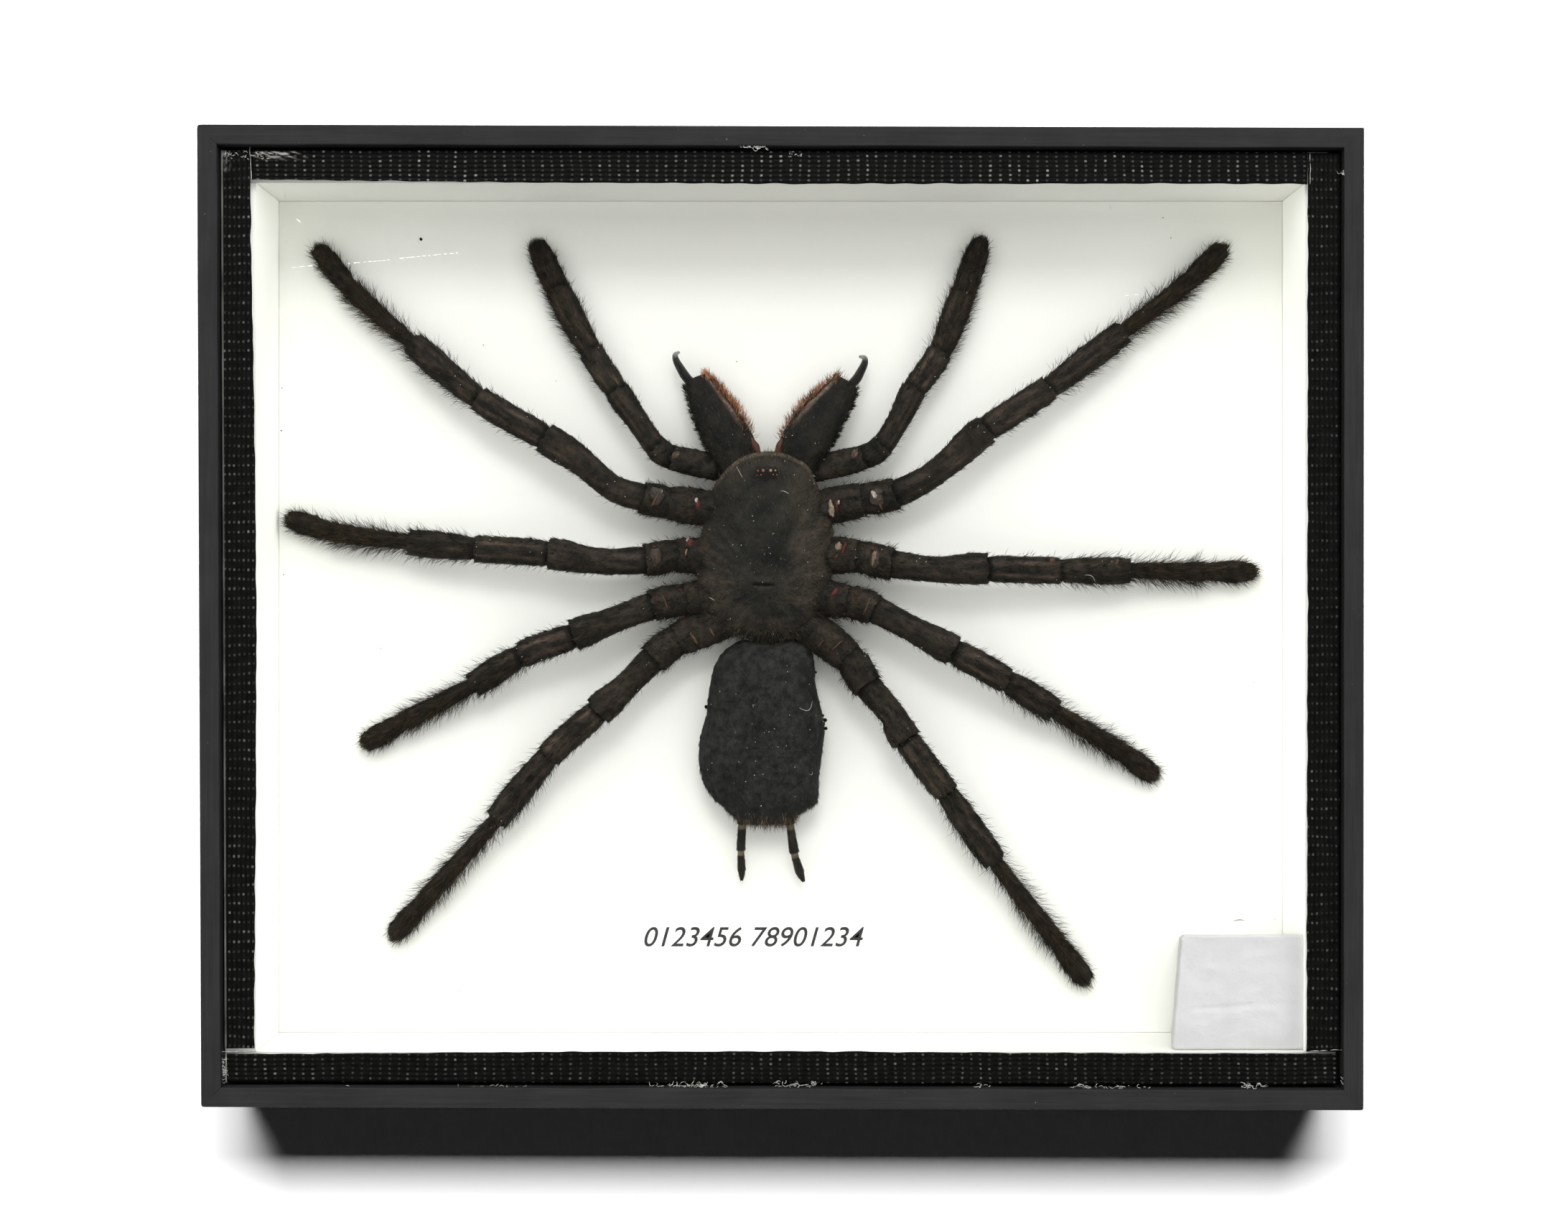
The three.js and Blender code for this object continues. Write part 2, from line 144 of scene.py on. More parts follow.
class Soup:
    """Points, faces and one mark per point, gathered into one mesh."""

    def __init__(self):
        self.points, self.marks, self.faces, self.slots = [], [], [], []
        self.count = 0

    def add(self, points, faces, slot=0, mark=0.0):
        self.faces.append(faces + self.count)
        self.slots.append(np.full(len(faces), slot))
        self.points.append(points)
        self.marks.append(np.broadcast_to(mark, len(points)))
        self.count += len(points)

    def body(self, rings, slot=0, mark=0.0):
        """Adds a closed body through rings, with a fan at both ends, and returns its points.

        mark is one number, or one for each ring point.
        """
        rows, columns = rings.shape[:2]
        points = np.concatenate([rings.reshape(-1, 3), rings[0].mean(0)[None],
                                 rings[-1].mean(0)[None]])
        if np.ndim(mark):
            mark = np.concatenate([mark.ravel(), [mark[0].mean(), mark[-1].mean()]])
        row, here = (grid.ravel() for grid in np.meshgrid(
            np.arange(rows - 1), np.arange(columns), indexing="ij"))
        a, b = row * columns + here, row * columns + (here + 1) % columns
        quads = np.stack([a, b, b + columns, a + columns], axis=1)
        around = np.arange(columns)
        after, last = (around + 1) % columns, (rows - 1) * columns
        first_hub = np.full(columns, rows * columns)
        fans = np.concatenate([np.stack([first_hub, after, around], axis=1),
                               np.stack([first_hub + 1, last + around, last + after], axis=1)])
        self.add(points, quads, slot, mark)
        self.faces.append(fans + self.count - len(points))
        self.slots.append(np.full(len(fans), slot))
        return points

    def piece(self, name, materials, slot, nodes=(), smooth=True):
        """Makes the Blender object, which rides on the body and replaces its nodes."""
        mesh = bpy.data.meshes.new(name)
        points = np.concatenate(self.points) * MM
        sizes = np.concatenate([np.full(len(f), f.shape[1]) for f in self.faces])
        corners = np.concatenate([f.ravel() for f in self.faces])
        mesh.vertices.add(len(points))
        mesh.vertices.foreach_set("co", points.ravel())
        mesh.loops.add(len(corners))
        mesh.loops.foreach_set("vertex_index", corners)
        mesh.polygons.add(len(sizes))
        mesh.polygons.foreach_set("loop_start", np.cumsum(sizes) - sizes)
        mesh.polygons.foreach_set("material_index", np.concatenate(self.slots))
        mesh.update(calc_edges=True)
        marks = mesh.attributes.new("mark", "FLOAT", "POINT")
        marks.data.foreach_set("value", np.concatenate(self.marks))
        mesh.polygons.foreach_set("use_smooth", np.full(len(sizes), smooth))
        mesh.validate()
        for material in materials:
            mesh.materials.append(material)
        piece = bpy.data.objects.new(name, mesh)
        bpy.context.scene.collection.objects.link(piece)
        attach(piece, BODY)
        if nodes:
            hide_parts(*nodes)


def spline(p0, p1, p2, p3, t):
    """Points of a Catmull-Rom curve, at t from p1 to p2."""
    return 0.5 * (2 * p1 + (p2 - p0) * t + (2 * p0 - 5 * p1 + 4 * p2 - p3) * t ** 2
                  + (3 * p1 - p0 - 3 * p2 + p3) * t ** 3)


def curve_through(stations, steps):
    """Points and tangents of a smooth curve at steps, counted in stations."""
    stations = np.asarray(stations, float)
    padded = np.concatenate([[2 * stations[0] - stations[1]], stations,
                             [2 * stations[-1] - stations[-2]]])
    steps = np.asarray(steps, float)
    span = np.clip(np.floor(steps).astype(int), 0, len(stations) - 2)
    t = (steps - span)[:, None]
    p0, p1, p2, p3 = (padded[span + i] for i in range(4))
    tangent = 0.5 * ((p2 - p0) + 2 * (2 * p0 - 5 * p1 + 4 * p2 - p3) * t
                     + 3 * (3 * p1 - p0 - 3 * p2 + p3) * t ** 2)
    return spline(p0, p1, p2, p3, t), unit(tangent)


def smooth_outline(outline, count):
    """A closed outline resampled evenly in station count by a smooth curve."""
    corners = np.asarray(outline, float)
    size = len(corners)
    steps = np.arange(count) * size / count
    span = np.floor(steps).astype(int)
    return spline(*(corners[(span + i - 1) % size] for i in range(4)),
                  (steps - span)[:, None])


def rings_along(points, tangents, widths, flatness, sides):
    """Elliptical rings about a path. Angle 0 is its side and a quarter turn its top."""
    side = unit(np.cross(np.array([0.0, 0.0, 1.0]), tangents))
    up = np.cross(tangents, side)
    angle = circle(sides)
    half = np.asarray(widths)[:, None, None] / 2
    return (points[:, None] + half * (np.cos(angle)[None, :, None] * side[:, None]
            + flatness * np.sin(angle)[None, :, None] * up[:, None]))


def ball(tilts, sides, squash=1.0):
    """Rings of a ball one in radius, at tilts in degrees from its middle."""
    tilt, angle = np.radians(tilts), circle(sides)
    return np.stack([np.outer(np.cos(tilt), np.cos(angle)),
                     np.outer(np.cos(tilt), np.sin(angle)),
                     np.repeat(np.sin(tilt)[:, None] * squash, sides, 1)], -1)


# A hair's faces by its own points: a long one's are its root, three round its middle and
# its tip, a short one's three round its root and its tip.
LONG_HAIR = np.array([[2, 1, 0], [3, 2, 0], [1, 3, 0], [1, 2, 4], [2, 3, 4], [3, 1, 4]])
SHORT_HAIR = np.array([[0, 1, 3], [1, 2, 3], [2, 0, 3]])


def hairs(soup, rings, count, length, width, rng, lift=35, spread=0.35, curl=0.25,
          density=None, lay=None, long=False, slot=0, tint=(0.0, 1.0), tufts=0.0):
    """Grows tapered hairs out of a grid of rings. They lie towards its first ring.

    lift is their angle in degrees, spread and curl how far they stray and bend, density a
    weight for each ring point, lay a function for another way to lie, tint the range of
    their marks and tufts how much they gather in patches.
    """
    here = rings[:-1]
    along = rings[1:] - here
    around = np.roll(here, -1, axis=1) - here
    normal = np.cross(around, along)
    weight = np.linalg.norm(normal, axis=-1)
    if density is not None:
        weight = weight * density[:-1]
    if tufts:
        weight = weight * np.exp(tufts * 2 * ripple(here, 1.1, int(rng.integers(1e6))))
    weight = weight.ravel() / weight.sum()
    pick = rng.choice(len(weight), count, p=weight)
    u, v = rng.random((count, 1)), rng.random((count, 1))
    here, along, around, normal = (grid.reshape(-1, 3)[pick]
                                   for grid in (here, along, around, normal))
    root = here + u * along + v * around
    normal = unit(normal)
    flow = unit(-along) if lay is None else unit(lay(root))
    rise = np.radians(lift * rng.uniform(0.5, 1.4, (count, 1)))
    heading = unit(flow * np.cos(rise) + normal * np.sin(rise)
                   + spread * rng.normal(size=(count, 3)) * 0.5)
    reach = length * rng.uniform(0.45, 1.2, (count, 1))
    side = unit(np.cross(heading, normal))
    other = np.cross(side, heading)
    base = width / 2
    third = [math.radians(120 * i) for i in range(3)]
    spokes = [(math.cos(a) * side + math.sin(a) * other) * base for a in third]
    start = root - normal * base
    middle = start + heading * reach * 0.4
    tip = start + heading * reach + (flow - normal * 0.35) * reach * curl
    tints = rng.uniform(*tint, count)
    points = np.stack(([start] + [middle + s for s in spokes] if long
                       else [start + s for s in spokes]) + [tip], axis=1)
    per_hair = points.shape[1]
    faces = np.arange(count)[:, None, None] * per_hair + (LONG_HAIR if long else SHORT_HAIR)
    soup.add(points.reshape(-1, 3), faces.reshape(-1, 3), slot, np.repeat(tints, per_hair))


# ---------------------------------------------------------------- materials


class Look:
    """A node material under construction, with short calls for the nodes it uses."""

    def __init__(self, name, roughness=0.6, specular=0.5):
        self.material = bpy.data.materials.new(name)
        self.material.use_nodes = True
        self.tree = self.material.node_tree
        self.shader = self.tree.nodes["Principled BSDF"]
        self.set("Roughness", roughness)
        self.set("Specular IOR Level", specular)
        self.place = self.tree.nodes.new("ShaderNodeTexCoord").outputs["Object"]

    def set(self, socket, value):
        """Gives one of the shader's sockets a value, or a node's output."""
        self.fill(self.shader.inputs[socket], value)
        return self

    def fill(self, socket, value):
        if isinstance(value, bpy.types.NodeSocket):
            self.tree.links.new(value, socket)
        else:
            socket.default_value = value

    def node(self, kind, output, inputs=(), **settings):
        """Adds a node, fills its inputs by name or number and returns an output."""
        made = self.tree.nodes.new(kind)
        for key, value in settings.items():
            setattr(made, key, value)
        for key, value in inputs:
            self.fill(made.inputs[key], value)
        return made.outputs[output]

    def stretched(self, scale):
        """Object coordinates scaled per axis, which stretches a texture."""
        return self.node("ShaderNodeMapping", "Vector",
                         [("Scale", scale), ("Vector", self.place)])

    def noise(self, pitch, detail=3.0, rough=0.6, vector=None):
        """A noise value with features about one pitch across, in millimetres."""
        return self.node("ShaderNodeTexNoise", "Fac", [
            ("Scale", 1 / (pitch * MM)), ("Detail", detail), ("Roughness", rough),
            ("Vector", vector or self.place)])

    def mark(self):
        return self.node("ShaderNodeAttribute", "Fac", attribute_name="mark")

    def ramp(self, value, *stops):
        """A colour ramp of (place, colour) stops. A number stands for a grey."""
        output = self.node("ShaderNodeValToRGB", "Color", [("Fac", value)])
        elements = output.node.color_ramp.elements
        while len(elements) < len(stops):
            elements.new(0.5)
        for element, (place, colour) in zip(elements, stops):
            element.position = place
            element.color = (*(colour if isinstance(colour, tuple) else (colour,) * 3), 1)
        return output

    def shades(self, value, first, second, low=0.3, high=0.7):
        return self.ramp(value, (low, first), (high, second))

    def mix(self, factor, first, second, blend="MIX"):
        output = self.node("ShaderNodeMix", 2, data_type="RGBA", blend_type=blend)
        factors, colours = ([s for s in output.node.inputs if s.type == kind]
                            for kind in ("VALUE", "RGBA"))
        self.fill(factors[0], factor)
        for socket, colour in zip(colours, (first, second)):
            self.fill(socket, (*colour, 1) if isinstance(colour, tuple) else colour)
        return output

    def tinted(self, colour, tint):
        return self.mix(1.0, colour, tint, "MULTIPLY")

    def maths(self, operation, first, second=0.5):
        return self.node("ShaderNodeMath", "Value", [(0, first), (1, second)],
                         operation=operation)

    def times(self, first, second):
        return self.maths("MULTIPLY", first, second)

    def plus(self, first, second):
        return self.maths("ADD", first, second)

    def grey(self, value):
        return self.node("ShaderNodeCombineColor", "Color", [(i, value) for i in range(3)])

    def spread(self, value, low, high, out_low, out_high):
        return self.node("ShaderNodeMapRange", "Result", [
            ("Value", value), ("From Min", low), ("From Max", high), ("To Min", out_low),
            ("To Max", out_high)])

    def done(self, colour, roughness=None, bump=None, depth=0.0):
        """Links what was made and returns the material. depth is the bump's, in mm."""
        self.set("Base Color", colour)
        if roughness:
            self.set("Roughness", roughness)
        if bump:
            self.set("Normal", self.node("ShaderNodeBump", "Normal", [
                ("Distance", depth * MM), ("Strength", 1.0), ("Height", bump)]))
        return self.material


def painted_wood(name, grain_axis):
    """Matte black paint on thin wood: grain shows as streaks along the rail."""
    look = Look(name, specular=0.14)
    squeeze = [1.0, 1.0, 1.0]
    squeeze[grain_axis] = 0.035
    grain = look.noise(0.55, 4, 0.65, look.stretched(squeeze))
    streaks = look.shades(grain, (0.0205, 0.0205, 0.0203), (0.0280, 0.0280, 0.0278))
    colour = look.tinted(streaks, look.shades(look.noise(9, 3), 0.88, 1.07, 0.35, 0.65))
    nicks = look.shades(look.noise(0.5, 1, 0.4), 0, 1, 0.80, 0.83)
    return look.done(look.mix(nicks, colour, (0.16, 0.155, 0.145)),
                     look.spread(grain, 0.3, 0.7, 0.58, 0.72), grain, 0.05)


def back_wood():
    """The back board: thin black-stained plywood, its grain open across the width."""
    look = Look("back_board_wood", specular=0.25)
    grain = look.noise(0.7, 5, 0.7, look.stretched((0.03, 1.0, 1.0)))
    streaks = look.shades(grain, (0.016, 0.014, 0.012), (0.045, 0.038, 0.032), 0.3, 0.72)
    clouds = look.shades(look.noise(22, 3), 0.8, (1.2, 1.17, 1.12), 0.35, 0.65)
    return look.done(look.tinted(streaks, clouds), look.spread(grain, 0.3, 0.7, 0.7, 0.85),
                     grain, 0.08)


def white_card(name, bright):
    """Paper-faced card: nearly white, with a faint tooth and a few grey fibres."""
    look = Look(name, 0.85, 0.25)
    tooth = look.noise(0.35, 4, 0.7)
    paper = look.shades(look.noise(26, 2), (bright * 0.985, bright * 0.985, bright * 0.925),
                        (bright, bright, bright * 0.945))
    fibre = look.noise(0.9, 2, 0.5, look.stretched((1.0, 0.25, 1.0)))
    fleck = look.shades(fibre, 0, 1, 0.74, 0.8)
    return look.done(look.mix(fleck, paper, (bright * 0.9, bright * 0.9, bright * 0.84)),
                     look.spread(tooth, 0.3, 0.7, 0.8, 0.92), tooth, 0.012)


def folded_paper():
    """The parcel's paper: duller than the card, with soft crumple marks."""
    look = Look("parcel_paper", 0.8, 0.3)
    crumple = look.noise(4.5, 4, 0.55)
    tooth = look.noise(0.3, 3, 0.6)
    tone = look.mix(0.12, look.shades(crumple, 0.58, 0.64),
                    look.shades(tooth, (0.45, 0.45, 0.44), (0.66, 0.66, 0.65)))
    return look.done(tone, look.spread(tooth, 0.3, 0.7, 0.72, 0.88),
                     look.plus(crumple, look.times(tooth, 0.1)), 0.35)


def plain_look(name, roughness, specular, noise, dark, light):
    """A Look that is one soft noise between two colours."""
    look = Look(name, roughness, specular)
    look.done(look.shades(look.noise(*noise), dark, light))
    return look


def clear_glass():
    """Window glass with the faintest green in its depth."""
    look = plain_look("clear_glass", 0.0, 0.5, (40, 1), (0.985, 0.995, 0.99),
                      (0.995, 1.0, 0.998))
    return look.set("Transmission Weight", 1.0).set("IOR", 1.5).material


# The tape's weave: how far apart its threads lie along and across a strip.
WEAVE_LONG = 1.475
WEAVE_ACROSS = 0.735


def cloth_tape(name, along, highlight_strength):
    """Black coated cloth. Its threads run along one axis; some crossings get a painted glint."""
    look = Look(name, specular=0.08)
    axes = look.node("ShaderNodeSeparateXYZ", 0, [("Vector", look.place)]).node.outputs
    wander = look.spread(look.noise(7, 2), 0.3, 0.7, -0.16, 0.16)
    cells = [look.plus(look.times(axes[axis], 1 / (pitch * MM)), wander)
             for axis, pitch in ((along, WEAVE_LONG), (1 - along, WEAVE_ACROSS))]
    wave_u, wave_v = (look.maths("COSINE", look.times(cell, math.tau)) for cell in cells)
    corner = look.node("ShaderNodeCombineXYZ", "Vector",
                       [(i, look.maths("ROUND", cell)) for i, cell in enumerate(cells)])
    chance = look.node("ShaderNodeTexWhiteNoise", "Value", [("Vector", corner)])
    # Painted glint: at some thread crossings a lighter colour stands for the highlight there.
    spot = look.times(look.spread(wave_u, 0.55, 0.95, 0, 1),
                      look.spread(wave_v, -0.2, 0.8, 0, 1))
    chosen = look.times(look.maths("POWER", chance, 4.0),
                        look.spread(look.noise(11, 2), 0.4, 0.6, 0.35, 1.0))
    glint = look.times(spot, look.plus(look.times(chosen, 10 * highlight_strength), highlight_strength))
    film = look.noise(1.6, 3, 0.6)
    black = look.shades(film, (0.0026, 0.0026, 0.0024), (0.0052, 0.0052, 0.0047))
    # Painted shade: darker in the grooves between threads, lighter on their ridges.
    rib_shaded = look.tinted(black, look.grey(look.spread(wave_v, -1, 1, 0.8, 1.2)))
    # Painted highlights: the mark paints the tape pale where crumples and the fold catch the
    # light.
    painted_highlights = look.mix(look.times(look.mark(), 0.9), rib_shaded, (0.52, 0.51, 0.48))
    height = look.plus(look.times(wave_v, 0.35),
                       look.times(look.maths("MAXIMUM", wave_u, 0.0), 0.3))
    return look.done(look.mix(glint, painted_highlights, (0.30, 0.295, 0.27)),
                     look.spread(film, 0.3, 0.7, 0.42, 0.6),
                     look.plus(height, look.times(film, 0.3)), 0.05)


def pale_thread():
    """White scrim threads and raw tape edges."""
    look = Look("pale_thread", 0.7, 0.3)
    return look.done(look.shades(look.noise(0.4, 3), (0.42, 0.41, 0.38), (0.85, 0.84, 0.8)),
                     bump=look.noise(0.1, 2), depth=0.02)


# How far a shell's or a coat's colour drifts in large patches.
WARM_CLOUDS = (0.57, 0.64, 0.68), (1.54, 1.38, 1.24)
GREY_CLOUDS = 0.88, 1.12


def chitin(name, dark, light, bald, gloss, specular, grain=0.35, clouds=WARM_CLOUDS):
    """Dried shell. Its mark is 1 on bald stripes, in their own colour, and -1 where dark."""
    look = Look(name, specular=specular)
    mottle = look.noise(1.3, 5, 0.65)
    fine = look.noise(grain, 4, 0.7)
    shell = look.tinted(look.shades(mottle, dark, light, 0.36, 0.68),
                        look.shades(look.noise(3.6, 3, 0.55), *clouds, 0.35, 0.65))
    dusted = look.mix(look.shades(fine, 0, 0.45, 0.5, 0.8), shell,
                      tuple(min(1.0, c * 2.1) for c in light))
    stripe = look.times(look.mark(), look.spread(look.noise(0.8, 4, 0.7), 0.3, 0.62, 0.25, 1.0))
    # Below nought the mark darkens: painted shadow at limb necks, darker patches on the carapace.
    shade = look.grey(look.plus(look.maths("MINIMUM", look.mark(), 0.0), 1.0))
    striped = look.mix(look.maths("MAXIMUM", stripe, 0.0), dusted, bald)
    return look.done(look.tinted(striped, shade), look.spread(fine, 0.3, 0.7, *gloss),
                     look.plus(fine, look.times(mottle, 0.8)), 0.07)


def hair_look(name, dark, light, clouds=WARM_CLOUDS):
    """Hair whose colour runs from dark to light by each hair's own mark."""
    look = Look(name, 0.6, 0.1)
    middle = tuple((d + c) / 2 for d, c in zip(dark, light))
    pale = tuple(c * 1.9 for c in light)
    own = look.ramp(look.mark(), (0.0, dark), (0.72, middle), (0.88, light), (1.0, pale))
    return look.done(look.tinted(own, look.shades(look.noise(2.2, 3), *clouds, 0.35, 0.65)))


def membrane():
    """Dried joint skin. Its mark runs grey shell, orange brown, dark red, cream, painted glint.
    """
    look = Look("joint_membrane", 0.35, 0.4)
    blotch = look.noise(0.4, 4, 0.7)
    # Near 1 the colour is a painted highlight, the glint of the glossy skin.
    own = look.ramp(look.mark(), (0.0, (0.047, 0.039, 0.032)), (0.25, (0.096, 0.056, 0.034)),
                    (0.5, (0.085, 0.021, 0.017)), (0.75, (0.22, 0.175, 0.115)),
                    (1.0, (0.42, 0.35, 0.33)))
    shade = look.shades(blotch, (0.42, 0.40, 0.38), (1.25, 1.2, 1.15), 0.36, 0.64)
    return look.done(look.tinted(own, shade), bump=blotch, depth=0.08)


def horn():
    """Fang: glossy black, which wear turns grey amber where the mark is 1."""
    look = Look("fang_horn", 0.16, 0.6)
    tone = look.shades(look.noise(0.6, 3), (0.006, 0.005, 0.005), (0.014, 0.012, 0.011))
    tip = look.shades(look.noise(0.4, 3), (0.14, 0.13, 0.11), (0.28, 0.27, 0.24))
    return look.done(look.mix(look.mark(), tone, tip), bump=look.noise(0.15, 3), depth=0.012)


def eye_look():
    """Wet-looking eyes: the mark runs from black through red to amber."""
    look = Look("eyes", 0.06, 0.9)
    tone = look.ramp(look.mark(), (0.0, (0.014, 0.012, 0.011)), (0.5, (0.19, 0.06, 0.03)),
                     (1.0, (0.36, 0.27, 0.17)))
    return look.done(tone, bump=look.noise(0.3, 2), depth=0.004)


WOOD_X = painted_wood("painted_wood_across", 0)
WOOD_Y = painted_wood("painted_wood_upright", 1)
CARD = white_card("white_card", 0.90)
# The walls' copy of the card is a little paler: painted light for the light they miss.
PALER_WALL_CARD = white_card("wall_card_painted_paler", 0.92)
PAPER = folded_paper()
# The last number sets how strong each strip's painted glints are.
TAPE_LOOKS = {"top": cloth_tape("cloth_tape_top", 0, 0.09),
              "left": cloth_tape("cloth_tape_left", 1, 0.05),
              "bottom": cloth_tape("cloth_tape_bottom", 0, 0.045),
              "right": cloth_tape("cloth_tape_right", 1, 0.03)}
THREAD = pale_thread()
SCRATCH = plain_look("scratched_glass", 0.6, 0.3, (0.3, 2), 0.92, 0.98).material
MEMBRANE = membrane()
HORN = horn()
EYES = eye_look()
LEG_SHELL = chitin("leg_shell", (0.0066, 0.0060, 0.0046), (0.0212, 0.0190, 0.0145),
                   (0.105, 0.074, 0.056), (0.6, 0.8), 0.14)
COXA_SHELL = chitin("coxa_shell", (0.0065, 0.0060, 0.0047), (0.0305, 0.0276, 0.0213),
                    (0.060, 0.034, 0.027), (0.65, 0.85), 0.12, 0.28)
CARAPACE_SHELL = chitin("carapace_shell", (0.0086, 0.0088, 0.0072), (0.0190, 0.0186, 0.0150),
                        (0.112, 0.083, 0.057), (0.5, 0.7), 0.2, 0.28)
# The chelicerae's bald colour paints the highlight line along their inner margin.
CHELICERA_SHELL = chitin("chelicera_shell", (0.0080, 0.0080, 0.0070),
                         (0.0175, 0.0172, 0.0148), (0.34, 0.24, 0.19), (0.6, 0.8), 0.12, 0.3)
ABDOMEN_SKIN = chitin("abdomen_skin", (0.0086, 0.0088, 0.0081), (0.0300, 0.0300, 0.0268),
                      (0.05, 0.045, 0.042), (0.7, 0.85), 0.12, 0.25, GREY_CLOUDS)
SPINNERET_SKIN = chitin("spinneret_skin", (0.0060, 0.0055, 0.0045), (0.0200, 0.0180, 0.0140),
                        (0.16, 0.13, 0.085), (0.5, 0.7), 0.2, 0.25)
BROWN_HAIR = hair_look("brown_leg_hair", (0.0058, 0.0046, 0.0030), (0.0460, 0.0348, 0.0215))
LEG_HAIR = hair_look("leg_hair", (0.0050, 0.0046, 0.0033), (0.0335, 0.0304, 0.0222))
CARAPACE_HAIR = hair_look("carapace_hair", (0.0090, 0.0086, 0.0068), (0.056, 0.050, 0.038))
ABDOMEN_HAIR = hair_look("abdomen_hair", (0.0090, 0.0093, 0.0083), (0.053, 0.0545, 0.0480),
                         GREY_CLOUDS)
TAN_HAIR = hair_look("tan_hair", (0.030, 0.022, 0.015), (0.20, 0.15, 0.10))
RED_HAIR = hair_look("red_hair", (0.120, 0.050, 0.026), (0.42, 0.215, 0.118))
INK = plain_look("ink", 0.6, 0.3, (0.25, 3, 0.7), (0.022, 0.018, 0.020),
                 (0.06, 0.052, 0.055)).material

# ---------------------------------------------------------------- limbs

# Stations from the tip to the root: (x, y, height above the card).
LEGS = {
    "leg_left_1": [
        (-74.8, 59.5, 1.6), (-68.9, 52.5, 2.5), (-59.1, 43.9, 4.2), (-48.3, 34.9, 6.2),
        (-37.5, 28.5, 7.2), (-31.9, 24.8, 7.2), (-26.8, 20.6, 6.8), (-22.0, 19.1, 6.0),
        (-17.8, 18.3, 5.2), (-10.7, 17.3, 4.8)],
    "leg_left_2": [
        (-79.5, 15.8, 1.6), (-71.7, 13.6, 2.5), (-59.4, 12.0, 4.2), (-48.6, 10.9, 6.2),
        (-36.9, 10.1, 7.2), (-29.2, 8.9, 7.2), (-21.6, 9.1, 6.2), (-16.5, 9.9, 5.2),
        (-10.1, 9.4, 4.8)],
    "leg_left_3": [
        (-67.2, -20.4, 1.6), (-60.3, -16.6, 2.5), (-49.4, -10.9, 4.2), (-41.4, -6.1, 6.2),
        (-32.9, -2.9, 7.2), (-20.5, 1.8, 6.2), (-15.3, 2.7, 5.2), (-10.1, 3.1, 4.8)],
    "leg_left_4": [
        (-62.7, -51.6, 1.6), (-57.0, -45.2, 2.5), (-45.7, -32.5, 4.2), (-37.0, -22.1, 6.2),
        (-29.1, -15.0, 7.2), (-24.5, -10.8, 7.2), (-20.4, -6.7, 6.6), (-16.5, -3.7, 5.6),
        (-8.8, -0.6, 4.8)],
    "leg_right_1": [
        (71.5, 59.6, 1.6), (65.1, 53.5, 2.5), (54.9, 45.7, 4.2), (42.8, 36.5, 6.2),
        (32.6, 29.8, 7.2), (27.5, 25.3, 7.2), (23.3, 22.1, 6.8), (18.3, 19.7, 6.0),
        (13.0, 18.8, 5.2), (6.2, 17.5, 4.8)],
    "leg_right_2": [
        (76.5, 7.3, 1.6), (68.0, 7.3, 2.5), (55.9, 7.4, 4.2), (44.3, 7.4, 6.2), (32.8, 7.7, 7.2),
        (24.7, 7.6, 7.2), (17.7, 8.5, 6.2), (12.2, 9.7, 5.2), (5.1, 9.9, 4.8)],
    "leg_right_3": [
        (60.5, -25.7, 1.6), (54.4, -21.4, 2.5), (43.7, -14.9, 4.2), (36.0, -10.1, 6.2),
        (27.4, -5.3, 7.2), (14.9, 1.2, 6.2), (10.7, 2.4, 5.2), (4.9, 3.3, 4.8)],
    "leg_right_4": [
        (49.4, -58.9, 1.6), (44.4, -52.2, 2.5), (34.3, -39.1, 4.2), (26.4, -28.0, 6.2),
        (19.9, -19.4, 7.2), (17.8, -15.6, 7.2), (13.8, -10.9, 6.6), (10.7, -6.4, 5.6),
        (3.8, -1.0, 4.8)],
}
PALPS = {
    "palp_left": [
        (-39.4, 60.2, 2.0), (-35.9, 52.6, 3.0), (-30.5, 42.6, 4.2), (-26.2, 36.1, 5.2),
        (-22.9, 31.3, 5.8), (-20.0, 27.3, 5.6), (-17.4, 25.6, 5.0), (-10.0, 23.9, 4.6)],
    "palp_right": [
        (32.4, 60.8, 2.0), (29.3, 51.9, 3.0), (25.5, 42.4, 4.2), (21.3, 36.3, 5.2),
        (19.1, 31.9, 5.8), (16.2, 27.4, 5.6), (13.2, 25.6, 5.0), (5.0, 23.6, 4.6)],
}
